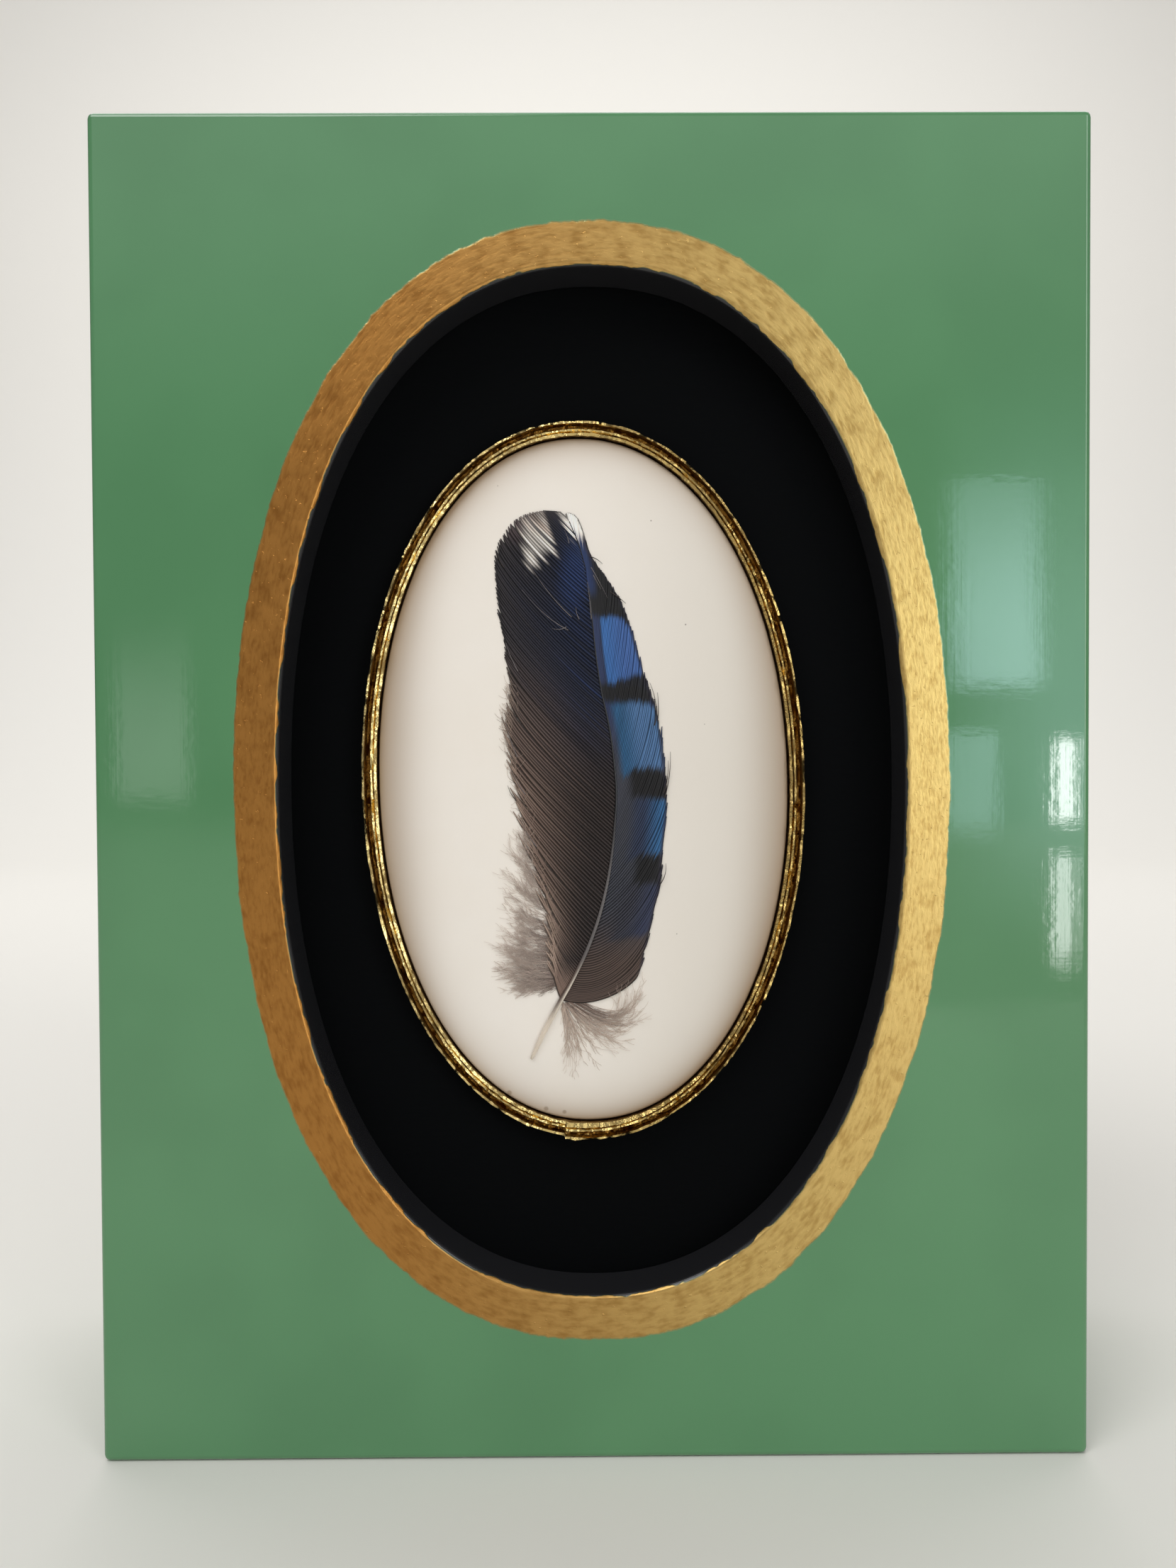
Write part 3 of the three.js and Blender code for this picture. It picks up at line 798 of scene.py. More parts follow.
def lay_strips(name, finish, section, paths, half_widths, heights, lifts, colours):
    """One piece of the feather, made of strips on the plaque. paths is (strip, step, x and z) in millimetres,
    and the other arrays are (strip, step), with colours as (strip, step, section corner, 3)."""
    count, steps, _ = paths.shape
    along = np.gradient(paths, axis=1)
    along /= np.linalg.norm(along, axis=2, keepdims=True) + 1e-9
    beside = np.stack([along[..., 1], -along[..., 0]], axis=-1)
    across = np.array([corner[0] for corner in section])
    rise = np.array([corner[1] for corner in section])
    flat = paths[:, :, None] + beside[:, :, None] * (half_widths[..., None] * across)[..., None]
    above = lifts[..., None] + heights[..., None] * rise
    y = plaque_face(flat[..., 0], flat[..., 1]) - FEATHER_GAP - above * MM
    corners = np.stack([flat[..., 0] * MM, y, flat[..., 1] * MM], axis=-1).reshape(-1, 3)
    mesh = bpy.data.meshes.new(name)
    mesh.from_pydata(corners.tolist(), [], strip_faces(count, steps, len(section)))
    layer = mesh.color_attributes.new(BARB_COLOUR, "FLOAT_COLOR", "POINT")
    colours = np.broadcast_to(colours, (count, steps, len(section), 3)).reshape(-1, 3)
    layer.data.foreach_set("color", np.column_stack([colours, np.ones(len(colours))]).ravel())
    obj = bpy.data.objects.new(name, mesh)
    bpy.context.collection.objects.link(obj)
    face_outwards(obj)
    take(obj)
    bpy.ops.object.shade_smooth()
    hand_over(obj, name, "feather", finish.material)


print("a barb's section has", len(BARB_SECTION), "corners, a hair's", len(HAIR_SECTION))

# %% [markdown]
# The colours of the vanes follow the feather's growth, so they are worked out for each point of each barb
# from its place. These helpers give the soft steps, the mixing of paints, and where the shaft and the margins
# run, from which a place across the vane is measured.

# %% Places on the feather
ROUTE_STEPS = 200


def smooth(low, high, value):
    """0 at low, 1 at high, and a smooth step between them. low may be the larger one."""
    t = np.clip((value - low) / (high - low), 0, 1)
    return t * t * (3 - 2 * t)


def blend(under, over, mask):
    return under + (over - under) * np.asarray(mask)[..., None]


def along_curve(curve, x):
    """Height of a curve, given as a few points, at x."""
    curve = np.array(curve)
    return np.interp(x, curve[:, 0], curve[:, 1])


def side_at(column, z):
    """Where one column of the barb pairs is at the height z: the shaft, or a margin."""
    route = through(BARB_PAIRS[:, column], np.linspace(0, 1, ROUTE_STEPS))
    return np.interp(z, route[:, 1], route[:, 0])


print("half-way up, the shaft is at x =", round(float(side_at(ROOT, PLAQUE_MIDDLE[1] / MM)), 2), "mm")

# %% [markdown]
# The inner vane is blue-black near the shaft and brown towards its frayed margin, with blue lines in its
# upper half and a white tip split by a black streak. Each edge between two paints is a soft step in x or z,
# in millimetres. barb is a random number for each barb, so that the edges run on a little in some of them.

# %% Colours of the inner vane
BLUE_BLACK = paint(21, 25, 40)
SOFT_BLACK = paint(43, 35, 33)
DARK_BROWN = paint(40, 36, 38)
PALE_BROWN = paint(106, 87, 77)
FRAY_BROWN = paint(178, 156, 140)
DEEP_BLUE = paint(34, 50, 88)
TIP_WHITE = paint(228, 219, 209)
TIP_BROWN = paint(172, 156, 146)
TIP_SHADE = paint(84, 70, 70)


def tip_white(x, z, barb):
    """How white the tip is: a wide pale streak and a narrow one, along the barbs, with black between."""
    left = smooth(-6.9, -5.9, x + 0.2 * (z - 84) + 0.5 * barb) * smooth(-3.6, -4.1, x + 0.34 * (z - 84))
    left = left * smooth(80.4, 82, z - 0.55 * (x + 5) + 1.2 * barb)
    right = smooth(-2.8, -2.2, x + 0.6 * (z - 84.6) + 0.5 * barb) * smooth(82.9, 84.2, z + 1.2 * barb)
    return np.clip(left + right, 0, 1)


def inner_colour(x, z, share, barb):
    near = blend(BLUE_BLACK, SOFT_BLACK, smooth(72, 58, z))
    far = blend(DARK_BROWN, PALE_BROWN, smooth(75, 59, z))
    far = blend(far, FRAY_BROWN, 0.7 * smooth(0.84, 1, share) * smooth(74, 64, z))
    far = blend(far, FRAY_BROWN, 0.4 * smooth(0.4, 1, share) * smooth(53, 46, z))
    tone = blend(near, far, smooth(0.12, 0.95, share + 0.1 * barb))
    blue = smooth(1.4, 0.3, np.hypot((x + 1.6) / 1.5, (z - 79.6) / 2.8))
    tone = blend(tone, DEEP_BLUE, 0.75 * blue)
    lines = smooth(0.5, 0.1, share) * smooth(62, 70, z) * np.clip(0.4 + barb, 0, 1)
    tone = blend(tone, DEEP_BLUE, 0.45 * lines)
    tone = blend(tone, PALE_BROWN, smooth(45, 42, z))
    tone = blend(tone, TIP_SHADE, 0.7 * smooth(82, 85, z) * smooth(-4.5, -6.5, x))
    streaks = tip_white(x, z, barb) * np.clip(0.85 + 0.9 * barb, 0.1, 1)
    streaks = streaks * (1 - 0.6 * smooth(84.5, 85.5, z + 0.4 * barb))
    browned = 0.6 * smooth(82.6, 84.8, z) * (x < -3.4) + 0.6 * barb
    pale = blend(TIP_WHITE, TIP_BROWN, np.clip(browned, 0, 1))
    return blend(tone, pale, streaks)


print("inner vane's colours ready")

# %% [markdown]
# The outer vane is the blue one. Along the shaft it is dark and finely lined. From there to the margin, blue
# patches alternate with black bars, and both end in brown at the base. The upper and lower edge of a patch
# are curves of a few points, and a bar is two heights.

# %% Colours of the outer vane
BAR_BLACK = paint(25, 24, 25)
LINE_BLUE = paint(38, 46, 72)
LINE_GREY = paint(52, 53, 60)
BASE_BROWN = paint(72, 59, 53)
MARGIN_DARK = paint(42, 38, 50)
# Blue patches, from the tip down: the curves of their upper and lower edges, how far from the shaft they
# start and are full, and their colours near the shaft and near the margin.
PATCHES = [
    ([(0.9, 76.1), (1.6, 76.4), (2.4, 76.1), (3.1, 75.5)],
     [(1.0, 69.6), (1.7, 69.9), (2.6, 70.4), (3.5, 70.7), (4.6, 70.9)],
     (0.6, 0.85), paint(52, 92, 144), paint(58, 86, 136)),
    ([(2.2, 68.3), (3, 68.55), (4, 68.75), (4.8, 68.5), (5.4, 68.0)],
     [(2.4, 61.6), (3.5, 61.9), (5, 62.3), (6, 62.3)],
     (0.25, 1.0), paint(38, 76, 108), paint(68, 98, 134)),
    ([(3, 59.5), (4, 59.8), (5, 59.8), (6, 59.5)],
     [(3, 53.8), (4, 54.2), (5, 54.4), (6, 54.4)],
     (0.9, 2.4), paint(40, 48, 68), paint(44, 84, 122)),
    ([(2, 51.6), (4, 51.9), (6, 51.9)],
     [(2, 46.5), (4, 47), (6, 47.5)],
     (0.8, 2.4), paint(47, 47, 55), paint(44, 48, 66)),
]
# Black bars as their two heights and how far from the shaft they start, all in millimetres.
BLACK_BARS = [(76.3, 78.2, -1), (69.9, 68.4, -1), (62.1, 59.7, 0.9), (54.2, 51.8, 1.9)]


def outer_colour(x, z, share, barb):
    away = x - side_at(ROOT, z)
    lines = blend(LINE_BLUE, LINE_GREY, smooth(68, 62, z))
    tone = blend(lines, BASE_BROWN, smooth(50, 44, z))
    tone = blend(tone, BAR_BLACK, smooth(68.5, 70.5, z) * smooth(0.5, 0.8, away))
    for upper, lower, (start, full), near, far in PATCHES:
        patch = smooth(-0.35, 0.3, along_curve(upper, x) - z + 0.3 * barb)
        patch = patch * smooth(-0.4, 0.35, z - along_curve(lower, x) + 0.3 * barb)
        patch = patch * smooth(start, full, away)
        tone = blend(tone, blend(near, far, smooth(full, full + 2, away)), patch)
    for one, other, start in BLACK_BARS:
        middle, half = (one + other) / 2, abs(one - other) / 2
        bar = smooth(half + 0.5, half - 0.3, abs(z - middle + 0.3 * barb)) * smooth(start, start + 0.9, away)
        tone = blend(tone, BAR_BLACK, bar)
    tone = blend(tone, BAR_BLACK, 0.85 * smooth(76.2, 77, z))
    tone = blend(tone, DEEP_BLUE, 0.6 * smooth(77.5, 79, z) * smooth(0.9, 0.2, away))
    tone = blend(tone, MARGIN_DARK, 0.75 * smooth(0.35, 0.1, side_at(OUTER_TIP, z) - x))
    return blend(tone, TIP_WHITE, 0.75 * tip_white(x, z, barb))


print(len(PATCHES), "blue patches and", len(BLACK_BARS), "black bars")

# %% [markdown]
# Now the vanes themselves. Each barb is a low ridge with a flat skirt on both sides. The ridge is painted
# lighter than the skirt, as a barb is lighter than the barbules that hook it to the next one. Seeded random
# numbers make every barb a little longer, shorter, higher or paler than the one beside it.

# %% Inner and outer vane
BARBS = 136
BARB_STEPS = 40
BARB_HALF_WIDTH = 0.19
BARB_RIDGE = 0.09
MARGIN_SLIDE = 0.04
VANE_LIFT = 0.06
LOCKS = 26
LOCK_REACH = 0.04
MOST_STRAY = 0.08
RIDGE_TONES = np.array([0.46, 0.74, 1.9, 0.82, 0.5])

feather_finish = barb_finish(
    "feather", Roughness=0.55, Specular_IOR_Level=0.25, Sheen_Weight=0.06, Sheen_Roughness=0.4,
)


def barb_paths(bend_column, tip_column, ragged, splay, random):
    """Paths of one vane's barbs. ragged says by what share of its length a barb near the base may fall short
    or stick out, and splay how far, in millimetres a share, that also bends its tip out to the left."""
    shares = (np.arange(BARBS) + 0.5) / BARBS
    pairs = through(BARB_PAIRS, shares)
    roots, bends, margins = pairs[:, ROOT], pairs[:, bend_column], pairs[:, tip_column]
    slide = MARGIN_SLIDE * (1 - shares**3) * random.uniform(0.8, 1.15, BARBS)
    tips = through(BARB_PAIRS[:, tip_column], shares + slide) + random.normal(0, 0.025, (BARBS, 2))
    locks = np.interp(shares, np.linspace(0, 1, LOCKS), random.normal(0, LOCK_REACH, LOCKS))
    locks = locks * smooth(0.9, 0.7, shares)
    stray = ragged * random.normal(0, 1, BARBS) * smooth(0.6, 0.25, shares)
    tips = tips + (tips - bends) * (locks + stray)[:, None]
    tips[:, 0] -= splay * np.clip(abs(stray), 0, MOST_STRAY) * smooth(0.5, 0.15, shares)
    bends = bends + random.normal(0, 0.012, (BARBS, 2))
    shoulders = margins + 0.22 * (bends - margins)
    elbows = roots + 0.62 * (bends - roots)
    return arcs([roots, elbows, shoulders, tips], np.linspace(0, 1, BARB_STEPS))


def make_vane(name, bend_column, tip_column, ragged, splay, colour_of, seed):
    random = np.random.default_rng(seed)
    paths = barb_paths(bend_column, tip_column, ragged, splay, random)
    steps = np.linspace(0, 1, BARB_STEPS)
    taper = 1 - 0.8 * smooth(0.85, 1, steps)
    each = np.ones((BARBS, 1))
    heights = BARB_RIDGE * taper * (1 + 0.04 * random.normal(0, 1, (BARBS, 1)))
    lifts = VANE_LIFT + 0.003 * random.normal(0, 1, (BARBS, 1)) + 0.04 * np.sin(steps * math.pi)
    barb = np.clip(0.4 * random.normal(0, 1, (BARBS, 1)), -1, 1) * np.ones((1, BARB_STEPS))
    tone = colour_of(paths[..., 0], paths[..., 1], steps[None, :] * each, barb)
    pale = (1 + 0.07 * random.normal(0, 1, (BARBS, 1, 1, 1))) * RIDGE_TONES[None, None, :, None]
    colours = np.clip(tone[:, :, None] * np.clip(pale, 0.3, 2), 0, 1)
    widths = BARB_HALF_WIDTH * taper * each
    lay_strips(name, feather_finish, BARB_SECTION, paths, widths, heights, lifts, colours)


make_vane("inner_vane", INNER_BEND, INNER_TIP, 0.05, 11, inner_colour, 11)
make_vane("outer_vane", OUTER_BEND, OUTER_TIP, 0.03, 0, outer_colour, 12)

# %% [markdown]
# The shaft runs up between the vanes. It is dark and thin at the tip, and pale and thick where it ends in the
# bare quill, which shines like horn and lets a little of the white plaque through. One round strip with a
# changing thickness makes both. Its right side is painted lighter, as light falls along a round shaft.

# %% Shaft and quill
SHAFT_STEPS = 120
# Radius of the shaft, and its height over the plaque, at heights along the feather, all in millimetres.
SHAFT_RADII = [
    (35.6, 0.13), (37, 0.21), (40, 0.24), (43.5, 0.17), (50, 0.14), (58, 0.1), (70, 0.07), (85, 0.05),
]
SHAFT_LIFTS = [(35, 0.02), (42, 0.04), (48, 0.06), (85, 0.09)]
SHAFT_DARK = paint(26, 25, 28)
SHAFT_GREY = paint(96, 91, 90)
QUILL_PALE = paint(232, 219, 202)
QUILL_BROWN = paint(86, 70, 62)
QUILL_CLEAR = 0.6
CLEAR_END, SOLID_START = 39.5, 42.5

route = through(np.concatenate([QUILL, BARB_PAIRS[:, ROOT]]), np.linspace(0, 1, SHAFT_STEPS))
level = route[:, 1]
radius = along_curve(SHAFT_RADII, level)
tone = blend(SHAFT_DARK, SHAFT_GREY, smooth(59, 50, level))
lit = blend(tone, QUILL_PALE, smooth(45.5, 41.5, level))
shaded = blend(blend(tone, QUILL_BROWN, smooth(46, 43, level)), QUILL_PALE, smooth(41.5, 38.5, level))
across = np.array([corner[0] for corner in ROUND_SECTION])
tones = blend(shaded[:, None], lit[:, None], smooth(-0.2, 0.4, across)[None])
quill_finish = barb_finish("quill", Roughness=0.35)
_, _, z = quill_finish.axes()
solid = quill_finish.rise(z, CLEAR_END, SOLID_START)
quill_finish.varies("Alpha", QUILL_CLEAR + (1 - QUILL_CLEAR) * solid)
lay_strips(
    "shaft", quill_finish, ROUND_SECTION, route[None], radius[None], 1.5 * radius[None],
    along_curve(SHAFT_LIFTS, level)[None], tones[None],
)

# %% [markdown]
# A few barbs have come loose. Some lie pale across the dark vane and some stand off the margin. Each is one
# fine strand through three points.

# %% Loose barbs
LOOSE_STEPS = 24
LOOSE_HALF_WIDTH = 0.05
STRAND_HEIGHT = 1.6
LOOSE_PALE = paint(120, 112, 112)
LOOSE_DARK = paint(62, 52, 48)
PALE_BARBS = np.array([
    [[-1.9, 76.1], [-4.2, 78.2], [-6, 81.4]],
    [[-2.2, 74.9], [-4.4, 76], [-6.4, 78.6]],
    [[-0.1, 75.9], [-0.2, 77.6], [-0.45, 79.3]],
    [[-1.2, 75.9], [-1.5, 76.4], [-1.5, 77]],
    [[-2.4, 75.2], [-3, 74.8], [-3.7, 75.1]],
    [[0.1, 79.9], [0.4, 79.3], [0.8, 78.6]],
    [[-0.1, 80.6], [0.5, 79.6], [1.4, 77.8]],
    [[-2.1, 82.8], [-2.2, 83.4], [-2.5, 84]],
    [[-6.8, 71.2], [-7.5, 72.4], [-7.9, 73.8]],
    [[-6.9, 63.4], [-7.5, 64.6], [-7.9, 66.4]],
    [[-5.2, 55.2], [-5.9, 56], [-6.6, 57.6]],
    [[-6.2, 60], [-7, 61], [-7.5, 62.2]],
])
DARK_BARBS = np.array([
    [[5.6, 66.2], [6.1, 68], [5.2, 70.1]],
    [[5.9, 66.6], [6.05, 67.8], [5.9, 69.2]],
    [[6.5, 59.6], [7.1, 61.4], [7.05, 63.8]],
    [[6.4, 60], [6.9, 61.2], [6.85, 63]],
    [[6, 51.6], [6.7, 52.4], [6.6, 53.6]],
    [[1.6, 78.4], [2.8, 77.6], [3.05, 77.3]],
    [[-0.2, 81.6], [0.5, 81.4], [0.95, 80.9]],
    [[-8, 80.6], [-8.6, 81.4], [-8.65, 82.2]],
    [[-7, 59.4], [-7.6, 60], [-7.8, 60.8]],
])


def make_loose(name, barbs, colour):
    steps = np.linspace(0, 1, LOOSE_STEPS)
    paths = arcs([barbs[:, 0], barbs[:, 1], barbs[:, 2]], steps)
    thin = LOOSE_HALF_WIDTH * (1 - 0.7 * steps) * np.ones((len(barbs), 1))
    lift = np.full(thin.shape, VANE_LIFT + BARB_RIDGE)
    lay_strips(name, feather_finish, HAIR_SECTION, paths, thin, STRAND_HEIGHT * thin, lift, colour)


make_loose("pale_barbs", PALE_BARBS, LOOSE_PALE)
make_loose("dark_barbs", DARK_BARBS, LOOSE_DARK)

# %% [markdown]
# Below the vanes the barbs have no hooks, so they hang loose as down. Each strand is a hair that waves, and
# carries finer hairs on both sides. Two tufts grow from the base: one to the side and one below the vane.

# %% Down
# Rows of a tuft as x and z in millimetres: root, bend and tip of a strand. The others grow between the rows.
SIDE_DOWN = np.array([
    [[-2.6, 42.6], [-5.2, 42], [-8, 41.5]],
    [[-2.4, 43], [-5.4, 42.6], [-8.7, 42.9]],
    [[-2.2, 43.6], [-5.6, 43.3], [-9, 44]],
    [[-2.2, 44.4], [-5.8, 44.2], [-9.3, 45]],
    [[-2.4, 45.2], [-6, 45.2], [-9.3, 46.4]],
    [[-2.8, 46.4], [-6, 46.6], [-8.9, 48.2]],
    [[-3.2, 48.2], [-5.9, 48.8], [-8.4, 51]],
    [[-3.6, 51], [-6, 51.8], [-7.9, 54.8]],
    [[-4.8, 54.6], [-6.5, 55.4], [-7.6, 58.4]],
])
BASE_DOWN = np.array([
    [[-1.6, 41.2], [3.8, 38.2], [5.2, 43.4]],
    [[-2.2, 41], [3.4, 37.1], [5.4, 42]],
    [[-2.3, 40.9], [2.6, 37.2], [5.8, 39.9]],
    [[-2.4, 40.8], [0.8, 36.9], [4.4, 38.3]],
    [[-2.5, 40.8], [-0.2, 37], [3.1, 36.2]],
    [[-2.7, 40.6], [-1.6, 37], [-0.7, 34.6]],
    [[-2.9, 40.4], [-2.5, 37], [-2.6, 33]],
])
STRAND_STEPS = 30
STRAND_HALF_WIDTH = 0.028
HAIR_STEPS = 6
HAIR_HALF_WIDTH = 0.011
DOWN_PALE = paint(202, 184, 172)
DOWN_DARK = paint(102, 82, 74)
BASE_PALE = paint(206, 186, 171)
BASE_DARK = paint(104, 82, 72)


def strand_paths(rows, random):
    """Waving strands along rows of root, bend and tip, each with a length of its own."""
    strands = len(rows)
    steps = np.linspace(0, 1, STRAND_STEPS)
    tips = rows[:, 0] + (rows[:, 2] - rows[:, 0]) * random.uniform(0.5, 1, (strands, 1))
    bends = rows[:, 1] + random.normal(0, 0.25, (strands, 2))
    paths = arcs([rows[:, 0], bends, tips], steps)
    phase = random.uniform(0, 2 * math.pi, (strands, 1))
    waves = random.uniform(0.8, 2, (strands, 1))
    sway = 0.16 * steps * np.sin(waves * 2 * math.pi * steps + phase)
    paths[..., 0] += sway * 0.4
    paths[..., 1] += sway
    return paths


def hair_paths(roots, headings, random):
    """Short hairs that leave their roots forwards, on one side or the other."""
    headings = headings / np.linalg.norm(headings, axis=1, keepdims=True)
    beside = np.column_stack([headings[:, 1], -headings[:, 0]])
    sides = random.choice([-1, 1], len(roots))[:, None] * beside
    reach = random.uniform(0.3, 1.1, (len(roots), 1))
    tips = roots + reach * (0.92 * headings + 0.38 * sides)
    bends = roots + reach * (0.4 * headings + 0.32 * sides)
    return arcs([roots, bends, tips], np.linspace(0, 1, HAIR_STEPS))


def make_down(name, tuft, strands, hairs_each, fading, dark, pale, seed):
    """A tuft of strands between the rows of tuft. fading says how much paler the last row is at its roots."""
    random = np.random.default_rng(seed)
    spread = (np.arange(strands) + random.uniform(0, 1, strands)) / strands
    paths = strand_paths(through(tuft, spread) + random.normal(0, 0.2, (strands, 1, 2)), random)
    steps = np.linspace(0, 1, STRAND_STEPS)
    thin = STRAND_HALF_WIDTH * (1 - 0.75 * steps) * np.ones((strands, 1))
    lifts = random.uniform(0.01, 0.06, (strands, 1))
    lifts = lifts + random.uniform(0, 0.16, (strands, 1)) * smooth(0.25, 0.8, steps)[None]
    paleness = steps[None] + random.normal(0, 0.15, (strands, 1)) + fading * spread[:, None]
    tone = blend(dark, pale, smooth(0, 0.75, paleness))
    heights = STRAND_HEIGHT * thin
    lay_strips(name, feather_finish, HAIR_SECTION, paths, thin, heights, lifts, tone[:, :, None])
    spots = random.integers(4, STRAND_STEPS - 1, (strands, hairs_each))
    owners = np.arange(strands)[:, None]
    roots = paths[owners, spots].reshape(-1, 2)
    headings = (paths[owners, spots] - paths[owners, spots - 3]).reshape(-1, 2)
    hairs = hair_paths(roots, headings, random)
    flat = HAIR_HALF_WIDTH * np.ones((len(roots), HAIR_STEPS))
    hair_lifts = np.repeat(lifts[owners, spots].reshape(-1, 1), HAIR_STEPS, axis=1)
    hair_tone = tone[owners, spots].reshape(-1, 1, 1, 3)
    lay_strips(name + "_fuzz", feather_finish, HAIR_SECTION, hairs, flat, 2 * flat, hair_lifts, hair_tone)


make_down("side_down", SIDE_DOWN, 140, 20, 0.2, DOWN_DARK, DOWN_PALE, 21)
make_down("base_down", BASE_DOWN, 74, 6, 0.6, BASE_DARK, BASE_PALE, 22)

# %% [markdown]
# A short fringe of the same strands frays the margin of the inner vane. Its rows come from the barb pairs: a
# strand starts a little inside the margin, on the outer half of a barb, and ends just past it.

# %% Fringe of the inner margin
FRINGE_ROWS = slice(1, 9)
# Where a strand starts, bends and ends, as shares of the way from a barb's bend to its tip, counted from the
# tip outwards. The end has one share for x and another for z, because the strands turn up.
FRINGE_START, FRINGE_BEND = -0.3, -0.04
FRINGE_REACH = np.array([0.07, 0.26])

margin, inside = BARB_PAIRS[FRINGE_ROWS, INNER_TIP], BARB_PAIRS[FRINGE_ROWS, INNER_BEND]
outwards = margin - inside
fringe_shares = (FRINGE_START, FRINGE_BEND, FRINGE_REACH)
fringe = np.stack([margin + share * outwards for share in fringe_shares], axis=1)
make_down("inner_fringe", fringe, 150, 3, 0, BASE_DARK, FRAY_BROWN, 23)

# %% [markdown]
# The stage is a pale floor that curves up behind the box, so that no line shows where floor meets wall. It is
# a plane whose back edge is pulled up, with a wide bevel in the bend. It reaches far to the sides and to the
# front, because the box is looked at from all round.

# %% Floor
FLOOR_SIZE = (24, 12, 1)
FLOOR_PLACE = (0, -4.8, 0)
WALL_HEIGHT = 2
SWEEP_RADIUS = 0.6
SWEEP_SEGMENTS = 24
# Corners with a larger y than this belong to the back edge.
BEHIND = 1

bpy.ops.object.select_all(action="DESELECT")
bpy.ops.mesh.primitive_plane_add(size=1, location=FLOOR_PLACE)
floor = bpy.context.object
floor.scale = FLOOR_SIZE
settle(floor)
floor.name = "floor"
pick(floor, "EDGE", lambda edge: all(floor.data.vertices[corner].co.y > BEHIND for corner in edge.vertices))
bpy.ops.mesh.extrude_region_move(TRANSFORM_OT_translate={"value": (0, 0, WALL_HEIGHT)})
bpy.ops.object.mode_set(mode="OBJECT")
sweep = floor.modifiers.new("sweep", "BEVEL")
sweep.width = SWEEP_RADIUS
sweep.segments = SWEEP_SEGMENTS
apply_modifiers(floor)
bpy.ops.object.shade_smooth()
floor_finish = Finish("pale_floor", Base_Color=paint(226, 223, 217), Roughness=0.8)
floor.data.materials.append(floor_finish.material)
print("floor", len(floor.data.polygons), "faces")

# %% [markdown]
# The light is soft. The key panel stands in front, high on the left, where the lacquer doesn't mirror it. A
# tall panel on the right stands for the window, a top panel and a pale world fill the shadows, and one more
# panel brightens the wall. Each is given its own brightness, so its energy grows with its area.

# %% Lights
TARGET = Vector((0, 0, 0.06))
BACKDROP = Vector((0, 1.2, 0.2))
DAYLIGHT = (0.66, 0.92, 1)
PLAIN = (1, 1, 1)
ROOM_TINT = (0.96, 0.98, 1, 1)
ROOM_BRIGHTNESS = 0.22
# Panels as name, place, what they face, width and height in metres, and their own brightness.
PANELS = [
    ("key", (-0.42, -0.6, 0.98), TARGET, (0.7, 0.6), 4.5),
    ("side", (0.72, -0.82, 0.36), TARGET, (0.35, 0.8), 3.4),
    ("top", (-0.1, 0.15, 1.1), TARGET, (1.0, 1.0), 0.8),
    ("backdrop", (0, 0.35, 0.9), BACKDROP, (1.6, 0.5), 3.4),
]


def add_panel(name, place, aim, size, brightness, tint=PLAIN):
    bpy.ops.object.light_add(type="AREA", location=place)
    panel = bpy.context.object
    panel.name = name
    panel.data.shape = "RECTANGLE"
    panel.data.size, panel.data.size_y = size
    panel.data.energy = brightness * math.pi * size[0] * size[1]
    panel.data.color = tint
    panel.rotation_euler = (aim - Vector(place)).to_track_quat("-Z", "Y").to_euler()
    panel.visible_camera = False
    return panel


for panel in PANELS:
    add_panel(*panel)
world = bpy.data.worlds.new("pale room")
world.use_nodes = True
background = world.node_tree.nodes["Background"]
background.inputs["Color"].default_value = ROOM_TINT
background.inputs["Strength"].default_value = ROOM_BRIGHTNESS
bpy.context.scene.world = world
bpy.context.scene.view_settings.view_transform = "Standard"
print(len(PANELS), "panels")

# %% [markdown]
# The lacquer is a flat mirror, so a small panel in front of it shows up where the line from the camera
# bounces. Each pane below is given by the place of its reflection, and its panel hangs where that bounce
# leads. The edges of a panel are made soft by nodes of its own: Parametric counts from 0 to 1 across the
# panel. One faint pane, the haze on the right, hangs behind the others and shows in the mirror alone.

# %% Panes that the lacquer mirrors
MIRROR_DISTANCE = 0.2
HAZE_DISTANCE = 0.23
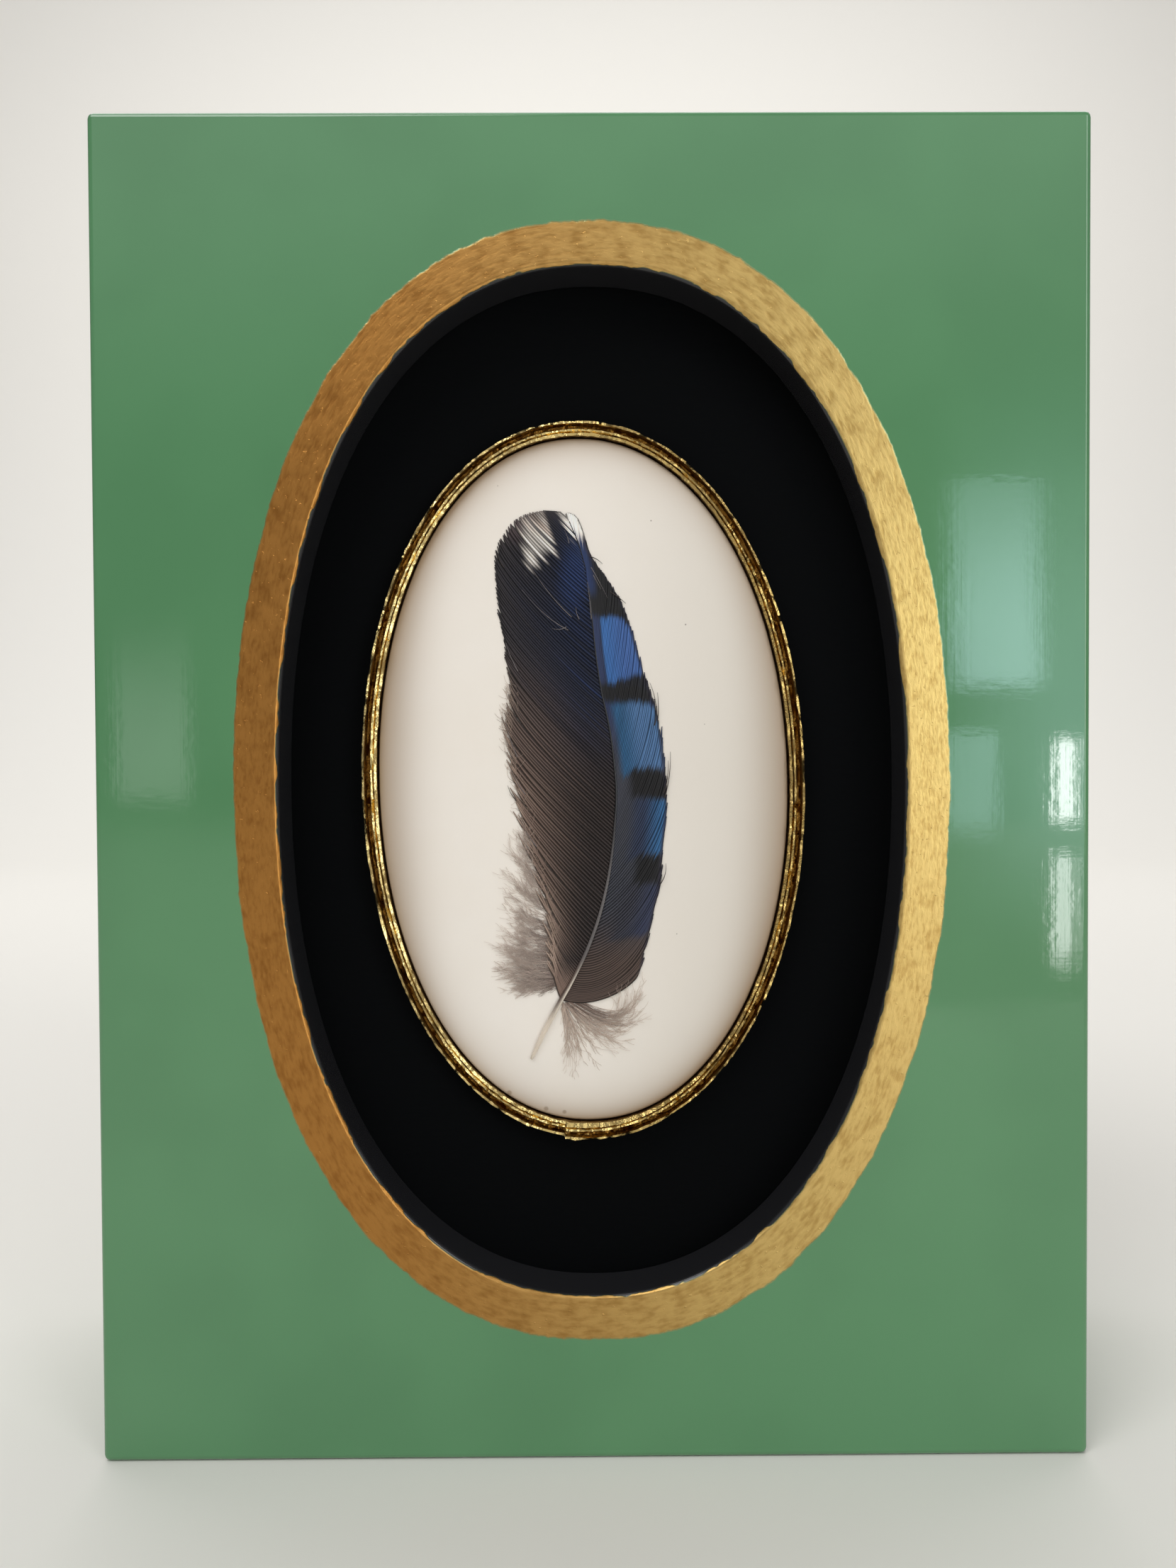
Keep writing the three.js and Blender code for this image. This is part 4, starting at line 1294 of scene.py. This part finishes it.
# Name, left, right, low and high edge of the reflection in millimetres, how soft its sides, its lower and its
# upper end are as shares of its size, its brightness and its tint.
PANES = [
    ("upper pane", 41, 43.6, 56.8, 65.4, 0.35, 0.12, 0.15, 17, PLAIN),
    ("lower pane", 40.8, 43.4, 42.6, 55, 0.4, 0.35, 0.08, 10, PLAIN),
    ("upper pane side", 42.8, 44.4, 56.6, 65.4, 0.4, 0.1, 0.1, 4, PLAIN),
    ("lower pane side", 42.6, 44.2, 43, 54.8, 0.4, 0.3, 0.1, 3.4, PLAIN),
    ("upper window", 30.6, 41.6, 68.4, 97, 0.3, 0.08, 0.8, 4.4, DAYLIGHT),
    ("lower window", 30.5, 37, 54.6, 66, 0.25, 0.35, 0.12, 2.6, DAYLIGHT),
    ("left window", -43.6, -35.2, 58.2, 78, 0.2, 0.15, 0.7, 1.3, PLAIN),
    ("gold glow", 18.5, 27.5, 31, 92, 0.2, 0.1, 0.1, 3.6, PLAIN),
    ("ceiling", -60, 60, 88, 135, 0.05, 0.75, 0.05, 0.75, PLAIN),
    ("right haze", 27, 60, 44, 104, 0.5, 0.3, 0.6, 2.4, DAYLIGHT),
]
# Panes that show in the mirror, behind the others, but light nothing.
MIRROR_ONLY = ["right haze"]


class Glow(Finish):
    """The brightness of a lamp, built from patterns as a finish is."""

    def __init__(self, lamp):
        lamp.use_nodes = True
        self.tree = lamp.node_tree

    def soften(self, sides, low, high):
        along = self.node("ShaderNodeNewGeometry", {}, {}, "Parametric")
        split = self.node("ShaderNodeSeparateXYZ", {}, {"Vector": along})
        across, up = (Signal(self, split.socket.node.outputs[name]) for name in "XY")
        strength = self.rise(across, 0, sides) * self.rise(1 - across, 0, sides)
        strength = strength * self.rise(up, 0, low) * self.rise(1 - up, 0, high)
        self.feed(self.tree.nodes["Emission"].inputs["Strength"], strength)


def seen_in_lacquer(x, z, distance):
    """Where something at that distance has to hang to show at x and z, in millimetres, on the lacquer."""
    spot = Vector((x * MM, FRONT, z * MM))
    view = spot - camera.location
    bounce = spot + view * (distance / view.y)
    bounce.y = FRONT - distance
    return bounce


for name, left, right, low, high, sides, low_end, high_end, brightness, tint in PANES:
    distance = HAZE_DISTANCE if name in MIRROR_ONLY else MIRROR_DISTANCE
    near, far = seen_in_lacquer(left, low, distance), seen_in_lacquer(right, high, distance)
    place = (near + far) / 2
    ahead = place + Vector((0, 1, 0))
    pane = add_panel(name, place, ahead, (far.x - near.x, far.z - near.z), brightness, tint)
    pane.visible_diffuse = name not in MIRROR_ONLY
    Glow(pane.data).soften(sides, low_end, high_end)
print(len(PANES), "panes")
